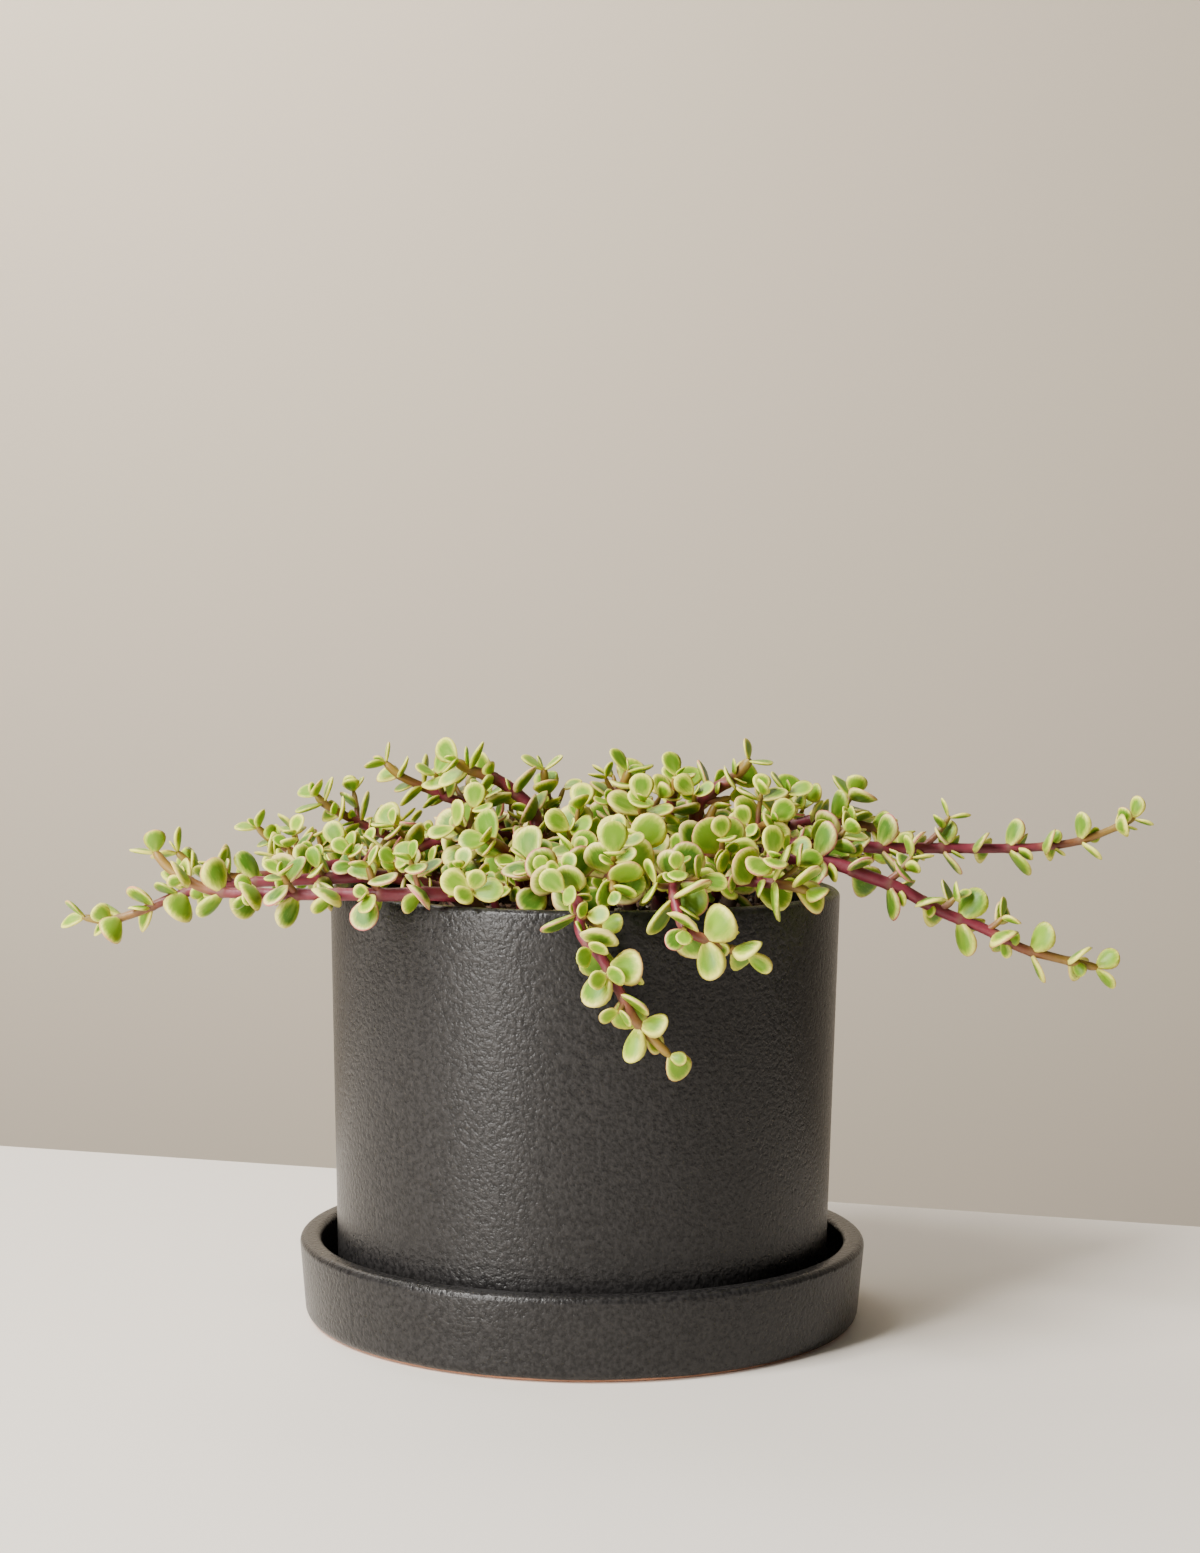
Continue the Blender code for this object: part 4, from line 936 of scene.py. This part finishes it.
def crumbs_tree():
    """Strews crumbs over a surface."""
    t = Growth("crumbs of soil", Crumb="Object", Density="Float", Smallest="Float", Largest="Float",
               Seed="Int")
    seed, full_turn = t.given["Seed"], (6.28, 6.28, 6.28)
    spots = t.add("GeometryNodeDistributePointsOnFaces", {}, Mesh=t.given["Geometry"],
                  Density=t.given["Density"], Seed=seed)
    turn = t.add("FunctionNodeRandomValue", {"data_type": "FLOAT_VECTOR"}, in0=(0, 0, 0), in1=full_turn,
                 Seed=seed)
    size = t.add("FunctionNodeRandomValue", {"data_type": "FLOAT"}, in2=t.given["Smallest"],
                 in3=t.given["Largest"], Seed=seed)
    tone = t.add("FunctionNodeRandomValue", {"data_type": "FLOAT"}, Seed=CRUMB_TONE_SEED)
    placed = t.stood_on(spots.outputs["Points"], "Crumb", turn.outputs[0], size.outputs[1])
    toned = t.add("GeometryNodeStoreNamedAttribute", {"data_type": "FLOAT", "domain": "INSTANCE"},
                  Geometry=placed, Name="tone", Value=tone.outputs[1])
    return t.close(toned.outputs["Geometry"])


def finished(shell, name, faces_out=True):
    """The mesh of a built shell, smooth, with its faces turned out."""
    if faces_out:
        bmesh.ops.recalc_face_normals(shell, faces=shell.faces)
    mesh = bpy.data.meshes.new(name)
    shell.to_mesh(mesh)
    shell.free()
    if faces_out:
        mesh.shade_smooth()
    return mesh


def leaf_shape():
    """One leaf, 1 long, 1 wide and 1 thick, along +X with its upper face to +Z."""
    points, faces = [(0.0, 0.0, 0.0)], []
    for x in LEAF_STATIONS:
        before = max(0.0, (LEAF_WIDEST - x) / LEAF_WIDEST)
        after = max(0.0, (x - LEAF_WIDEST) / (1 - LEAF_WIDEST))
        round_end = math.sqrt(1 - before * before) if before else math.sqrt(1 - after * after)
        half = 0.5 * round_end * (1 - LEAF_WAIST * before * before)
        dome = round_end ** LEAF_DOME
        for k in range(LEAF_SECTION):
            angle = math.tau * k / LEAF_SECTION
            y, up = half * math.cos(angle), math.sin(angle)
            z = dome * up * (LEAF_UPPER_SHARE if up > 0 else 1 - LEAF_UPPER_SHARE) * LEAF_FULL
            points.append((x, y, z + LEAF_DISH * y * y))
    points.append((1.0, 0.0, 0.0))
    last, rows = len(points) - 1, len(LEAF_STATIONS)
    top = 1 + (rows - 1) * LEAF_SECTION
    for k in range(LEAF_SECTION):
        after = (k + 1) % LEAF_SECTION
        faces.append((0, 1 + after, 1 + k))
        for a in range(1, top, LEAF_SECTION):
            b = a + LEAF_SECTION
            faces.append((a + k, a + after, b + after, b + k))
        faces.append((last, top + k, top + after))
    mesh = new_mesh("leaf shape", points, faces)
    point_values(mesh, "blade", points, "FLOAT_VECTOR")
    mesh.shade_smooth()
    shell = bmesh.new()
    shell.from_mesh(mesh)
    bmesh.ops.recalc_face_normals(shell, faces=shell.faces)
    shell.to_mesh(mesh)
    shell.free()
    return new_object("leaf shape", mesh)


def turned_piece(name, profile, segments, finish, closed=False):
    """A turned solid. The profile's points are (radius, height) in millimetres, down its outer side."""
    shell = bmesh.new()
    rings = []
    for radius, height in profile:
        turns = [math.tau * i / segments for i in range(segments if radius > 1e-6 else 1)]
        rings.append([shell.verts.new((radius * MM * math.cos(a), radius * MM * math.sin(a), height * MM))
                      for a in turns])
    pairs = list(zip(rings[:-1], rings[1:]))
    if closed:
        pairs.append((rings[-1], rings[0]))
    for upper, lower in pairs:
        for i in range(segments):
            j = (i + 1) % segments
            ring = [row[k % len(row)] for row, k in ((upper, i), (upper, j), (lower, j), (lower, i))]
            shell.faces.new([v for k, v in enumerate(ring) if v not in ring[:k]])
    mesh = finished(shell, name)
    mesh.materials.append(finish)
    return new_object(name, mesh)


def arc(x, z, radius, first, last, steps=8):
    angles = [math.radians(between(first, last, i / steps)) for i in range(steps + 1)]
    return [(x + radius * math.cos(a), z + radius * math.sin(a)) for a in angles]


def spread_along(profile, step):
    """Adds points along a profile's long straights, so that its shading stays even."""
    dense = [profile[0]]
    for (r0, z0), (r1, z1) in zip(profile[:-1], profile[1:]):
        count = max(1, int(math.hypot(r1 - r0, z1 - z0) / step))
        dense += [(between(r0, r1, i / count), between(z0, z1, i / count)) for i in range(1, count + 1)]
    return dense


# The wood: the step along its line, how deep it stands in the soil, and its swelling at a leaf scar and
# narrowing at the tip, in millimetres and as shares of its thickness
WOOD_SIDES = 12
WOOD_STEP = 0.9
WOOD_DEPTH = 10
SCAR_REACH, SCAR_SWELL = 0.75, 0.13
TIP_REACH, TIP_NARROW = 1.4, 0.45
SHOOT_AGE = 0.75


def wood_mesh(name, bush):
    """The middle lines of a stem and its shoots, with their thickness, age and leaf scars."""
    points, edges, thick, ages, rings = [], [], [], [], []
    for index, (line, radius) in enumerate(bush.lines[name]):
        ends = STEMS[name]["thick"] if index == 0 else (radius * 2, radius * 2 * SHOOT_TAPER)
        nodes = np.array(bush.nodes.get((name, index), [0.0]))
        count = max(4, int(line.length / WOOD_STEP))
        start = len(points)
        if index == 0:
            points.append(line.points[0] - UP * WOOD_DEPTH)
            thick.append(ends[0] / 2)
            ages.append(0.0)
            rings.append(0.0)
        for i in range(count + 1):
            distance = line.length * i / count
            share = distance / line.length
            near = math.exp(-(float(np.abs(nodes - distance).min()) / SCAR_REACH) ** 2)
            end = 1 - TIP_NARROW * max(0.0, (distance - line.length + TIP_REACH) / TIP_REACH)
            points.append(line.at(distance)[0])
            thick.append(between(*ends, share) / 2 * (1 + SCAR_SWELL * near) * end)
            ages.append(share if index == 0 else between(SHOOT_AGE, 1.0, share))
            rings.append(near)
        edges += [(i, i + 1) for i in range(start, len(points) - 1)]
    mesh = new_mesh(name, [p * MM for p in points], [], edges)
    for key, values in (("thick", np.array(thick) * MM), ("age", ages), ("ring", rings)):
        point_values(mesh, key, values)
    return mesh


# How far a leaf's age strays, how far its green reaches, and its pink edge, which fades on a young one
AGE_STRAY = 0.2
GREEN_REACH = (0.62, 0.92)
BLUSH, BLUSH_FADE = (0.1, 1.3), 0.6


def leaf_points(name, bush):
    """One point for each leaf of a stem, with its turn, size and looks."""
    spots, turns, sizes, looks = [], [], [], []
    for number, ((owner, _), leaf) in enumerate(bush.leaves):
        if owner != name:
            continue
        chance = random.Random(LOOKS_SEED + number)
        spots.append(leaf.root * MM)
        turns.append(tuple(Matrix([Vector(axis) for axis in leaf.axes]).transposed().to_euler()))
        sizes.append((leaf.length * MM, leaf.width * MM, leaf.thick * MM))
        young = min(1.0, max(0.0, leaf.age + chance.uniform(-AGE_STRAY, AGE_STRAY)))
        blush = max(0.0, chance.uniform(*BLUSH) - young * BLUSH_FADE)
        looks.append((chance.random(), young, chance.uniform(*GREEN_REACH), blush))
    mesh = new_mesh(name, spots, [])
    point_values(mesh, "turn", turns, "FLOAT_VECTOR")
    point_values(mesh, "size", sizes, "FLOAT_VECTOR")
    for key, values in zip(("tone", "age", "green", "blush"), zip(*looks)):
        point_values(mesh, key, values)
    return mesh


def dress(piece, slot_name, *nodes):
    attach(piece, "root")
    if nodes:
        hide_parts(*nodes)


def make_bush():
    bush = grow()
    more_leaves(bush)
    leaf, bark = leaf_finish(), stem_finish()
    shape, leaves, wood = leaf_shape(), leaves_tree(), wood_tree()
    for name in STEMS:
        piece = grown(name + "_wood", wood_mesh(name, bush), wood, {"Sides": WOOD_SIDES, "Material": bark})
        dress(piece, "leafy_stem", name)
        piece = grown(name + "_leaves", leaf_points(name, bush), leaves, {"Leaf": shape, "Material": leaf})
        dress(piece, "leafy_stem", name)
    bpy.data.objects.remove(shape)


# The holder's finish: sides of a turned piece, the step along its profile, and where the glaze ends
HOLDER_SIDES = 160
PROFILE_STEP = 8
GLAZE_ENDS = 0.0009


def make_holder():
    r, foot = EDGE_ROUND, SAUCER_FOOT_ROUND
    inner = SAUCER_RIM_RADIUS - SAUCER_WALL
    profile = [(0, SAUCER_FLOOR), (inner - foot, SAUCER_FLOOR)]
    profile += arc(inner - foot, SAUCER_FLOOR + foot, foot, 270, 360)[1:]
    profile += arc(inner + r, SAUCER_HEIGHT - r, r, 180, 90)
    profile += arc(SAUCER_RIM_RADIUS - r, SAUCER_HEIGHT - r, r, 90, 0)
    profile += arc(SAUCER_BASE_RADIUS - foot, foot, foot, 0, -90)
    profile = spread_along(profile + [(0, 0)], PROFILE_STEP)
    glaze = glaze_finish("saucer glaze", GLAZE_ENDS)
    dress(turned_piece("saucer_glazed", profile, HOLDER_SIDES, glaze), "saucer_glaze", "saucer")

    base, top = POT_BASE_HEIGHT, POT_RIM_HEIGHT
    floor = base + POT_FLOOR
    profile = arc(POT_RIM_RADIUS - r, top - r, r, 90, 0)
    profile += arc(POT_BASE_RADIUS - r, base + r, r, 0, -90)
    profile += [(POT_FOOT_RADIUS, base), (POT_FOOT_RADIUS - 1, base + POT_FOOT_HEIGHT)]
    profile += [(DRAIN_RADIUS, base + POT_FOOT_HEIGHT), (DRAIN_RADIUS, floor)]
    profile.append((pot_inner_radius(floor), floor))
    profile = spread_along(profile + arc(POT_RIM_RADIUS - POT_WALL + r, top - r, r, 180, 90), PROFILE_STEP)
    glaze = glaze_finish("pot glaze")
    dress(turned_piece("pot_glazed", profile, HOLDER_SIDES, glaze, closed=True), "pot_glaze", "pot")


# The soil's top: its rows and sides, its round lip, and its waves in radians a metre with their lift in
# millimetres. Waves and crumbs keep above a level below the edge, and clear of the wall.
SOIL_ROWS, SOIL_SIDES = 40, 120
LIP_WIDTH, LIP_DROP = 1, 0.6
WAVES, WAVE_RATE, WAVE_PHASE = 9, (60, 420), (0, 6)
WAVE_LIFT = 0.9
WAVE_BELOW, WAVE_CLEAR = 3, 1.5
CRUMB_BELOW, CRUMB_CLEAR = 2, 2.5
# The crumbs: how many for each square metre, their sizes in metres, and their shape
CRUMB_DENSITY = 160000.0
CRUMB_SIZES = (0.0008, 0.0034)
CRUMB_LONG, CRUMB_WIDE, CRUMB_HIGH = 1.5, (0.7, 1.1), (0.45, 0.8)


def make_soil():
    rim = POT_RIM_HEIGHT - SOIL_EDGE_DROP
    floor = POT_BASE_HEIGHT + POT_FLOOR + SEAT_GAP
    edge = pot_inner_radius(rim) - SEAT_GAP
    profile = [(r, soil_top(r)) for r in np.linspace(0, edge - LIP_WIDTH, SOIL_ROWS)]
    profile += [(edge, rim - LIP_DROP), (pot_inner_radius(floor) - SEAT_GAP, floor), (0, floor)]
    piece = turned_piece("soil_bed", profile, SOIL_SIDES, soil_finish())
    chance = random.Random(SOIL_SEED)
    waves = [[chance.uniform(*span) for span in (WAVE_RATE, WAVE_RATE, WAVE_PHASE, WAVE_PHASE)]
             for _ in range(WAVES)]
    for vert in piece.data.vertices:
        x, y, z = vert.co
        if z >= (rim - WAVE_BELOW) * MM and math.hypot(x, y) <= (edge - WAVE_CLEAR) * MM:
            lift = sum(math.sin(a * x + p) * math.sin(b * y + q) for a, b, p, q in waves) / WAVES
            vert.co.z = z + lift * WAVE_LIFT * MM
    dress(piece, "soil", "soil")

    low, wide = (rim - CRUMB_BELOW) * MM, (edge - CRUMB_CLEAR) * MM
    bed = {face.index for face in piece.data.polygons
           if face.center.z > low and math.hypot(*face.center[:2]) < wide}
    shell = bmesh.new()
    shell.from_mesh(piece.data)
    shell.faces.ensure_lookup_table()
    bmesh.ops.delete(shell, geom=[f for f in shell.faces if f.index not in bed], context="FACES")
    ground = finished(shell, "ground", faces_out=False)
    bpy.ops.mesh.primitive_ico_sphere_add(subdivisions=1, radius=0.5)
    crumb = bpy.context.object
    for vert in crumb.data.vertices:
        x, y, z = vert.co
        vert.co = Vector((x * CRUMB_LONG, y * chance.uniform(*CRUMB_WIDE), z * chance.uniform(*CRUMB_HIGH)))
    inputs = {"Crumb": crumb, "Density": CRUMB_DENSITY, "Smallest": CRUMB_SIZES[0], "Largest": CRUMB_SIZES[1],
              "Seed": CRUMB_SEED, "Material": crumb_finish()}
    dress(grown("soil_crumbs", ground, crumbs_tree(), inputs), "soil")
    bpy.data.objects.remove(crumb)


# The table ends along the line that the photo shows behind the pot, and the wall stands well behind it
TABLE_EDGE, TABLE_SLOPE = 0.200, 0.292
TABLE_HALF, TABLE_FRONT, TABLE_THICK = 1.6, -1.4, 0.03
TABLE_COLOUR = (0.800, 0.745, 0.670, 1)
WALL_Y, WALL_HALF, WALL_FOOT, WALL_TOP = 1.3, 4, -2, 4
WALL_COLOUR = (0.615, 0.530, 0.420, 1)
ROOM_COLOUR, ROOM_LIGHT = (1.0, 0.97, 0.93, 1), 0.15
LAMP_COLOUR = (1.0, 0.975, 0.94)
# Each lamp: its place, what it faces, its width and height, and its power
LIGHTS = {
    "window": ((-0.95, -0.75, 1.45), (0, 0, 0.10), (0.7, 0.7), 64),
    "strip": ((-0.90, -1.05, 0.40), (0, 0, 0.08), (0.18, 0.8), 27),
    "wash": ((-0.6, 0.75, 1.2), (0.1, 1.3, 0.4), (0.8, 0.8), 15),
}
# The camera looks down by its pitch, to the right by its yaw and turns by its roll, in radians
CAMERA_PLACE = Vector((0, -0.8851, 0.2227))
CAMERA_PITCH, CAMERA_YAW, CAMERA_ROLL = 0.0539, 0.0050, 0.0091
CAMERA_LENS = 63.33


def make_room():
    """Table, wall, lights and the camera."""
    edge = [(x, TABLE_EDGE - TABLE_SLOPE * x) for x in (TABLE_HALF, -TABLE_HALF)]
    outline = [(-TABLE_HALF, TABLE_FRONT), (TABLE_HALF, TABLE_FRONT)] + edge
    points = [(x, y, z) for z in (0, -TABLE_THICK) for x, y in outline]
    sides = [(k, k + 4, (k + 1) % 4 + 4, (k + 1) % 4) for k in range(4)]
    table = new_object("table", new_mesh("table", points, [(0, 1, 2, 3), (7, 6, 5, 4)] + sides))
    table.data.materials.append(Finish("pale table", Roughness=0.7, Base_Color=TABLE_COLOUR).material)
    spans = ((-WALL_HALF, WALL_FOOT), (WALL_HALF, WALL_FOOT), (WALL_HALF, WALL_TOP), (-WALL_HALF, WALL_TOP))
    wall = new_object("wall", new_mesh("wall", [(x, WALL_Y, z) for x, z in spans], [(0, 1, 2, 3)]))
    wall.data.materials.append(Finish("warm grey wall", Roughness=0.9, Base_Color=WALL_COLOUR).material)

    for name, (place, aim, size, power) in LIGHTS.items():
        lamp = bpy.data.lights.new(name, "AREA")
        lamp.shape, lamp.size, lamp.size_y = "RECTANGLE", *size
        lamp.energy, lamp.color = power, LAMP_COLOUR
        obj = new_object(name, lamp)
        obj.location = place
        obj.rotation_euler = (Vector(aim) - Vector(place)).to_track_quat("-Z", "Y").to_euler()
    world = bpy.data.worlds.new("room")
    bpy.context.scene.world = world
    world.use_nodes = True
    backdrop = world.node_tree.nodes["Background"].inputs
    backdrop["Color"].default_value, backdrop["Strength"].default_value = ROOM_COLOUR, ROOM_LIGHT

    pitch, yaw, roll = CAMERA_PITCH, CAMERA_YAW, CAMERA_ROLL
    ahead = Vector((math.sin(yaw) * math.cos(pitch), math.cos(yaw) * math.cos(pitch), -math.sin(pitch)))
    right = Vector((math.cos(yaw), -math.sin(yaw), 0))
    up = right.cross(ahead)
    across = right * math.cos(roll) + up * math.sin(roll)
    upward = up * math.cos(roll) - right * math.sin(roll)
    lens = bpy.data.cameras.new("camera")
    lens.lens, lens.sensor_width = CAMERA_LENS, 36
    camera = new_object("camera", lens)
    turn = Matrix((across, upward, -ahead)).transposed().to_4x4()
    camera.matrix_world = Matrix.Translation(CAMERA_PLACE) @ turn
    bpy.context.scene.camera = camera


make_room()
make_holder()
make_soil()
make_bush()
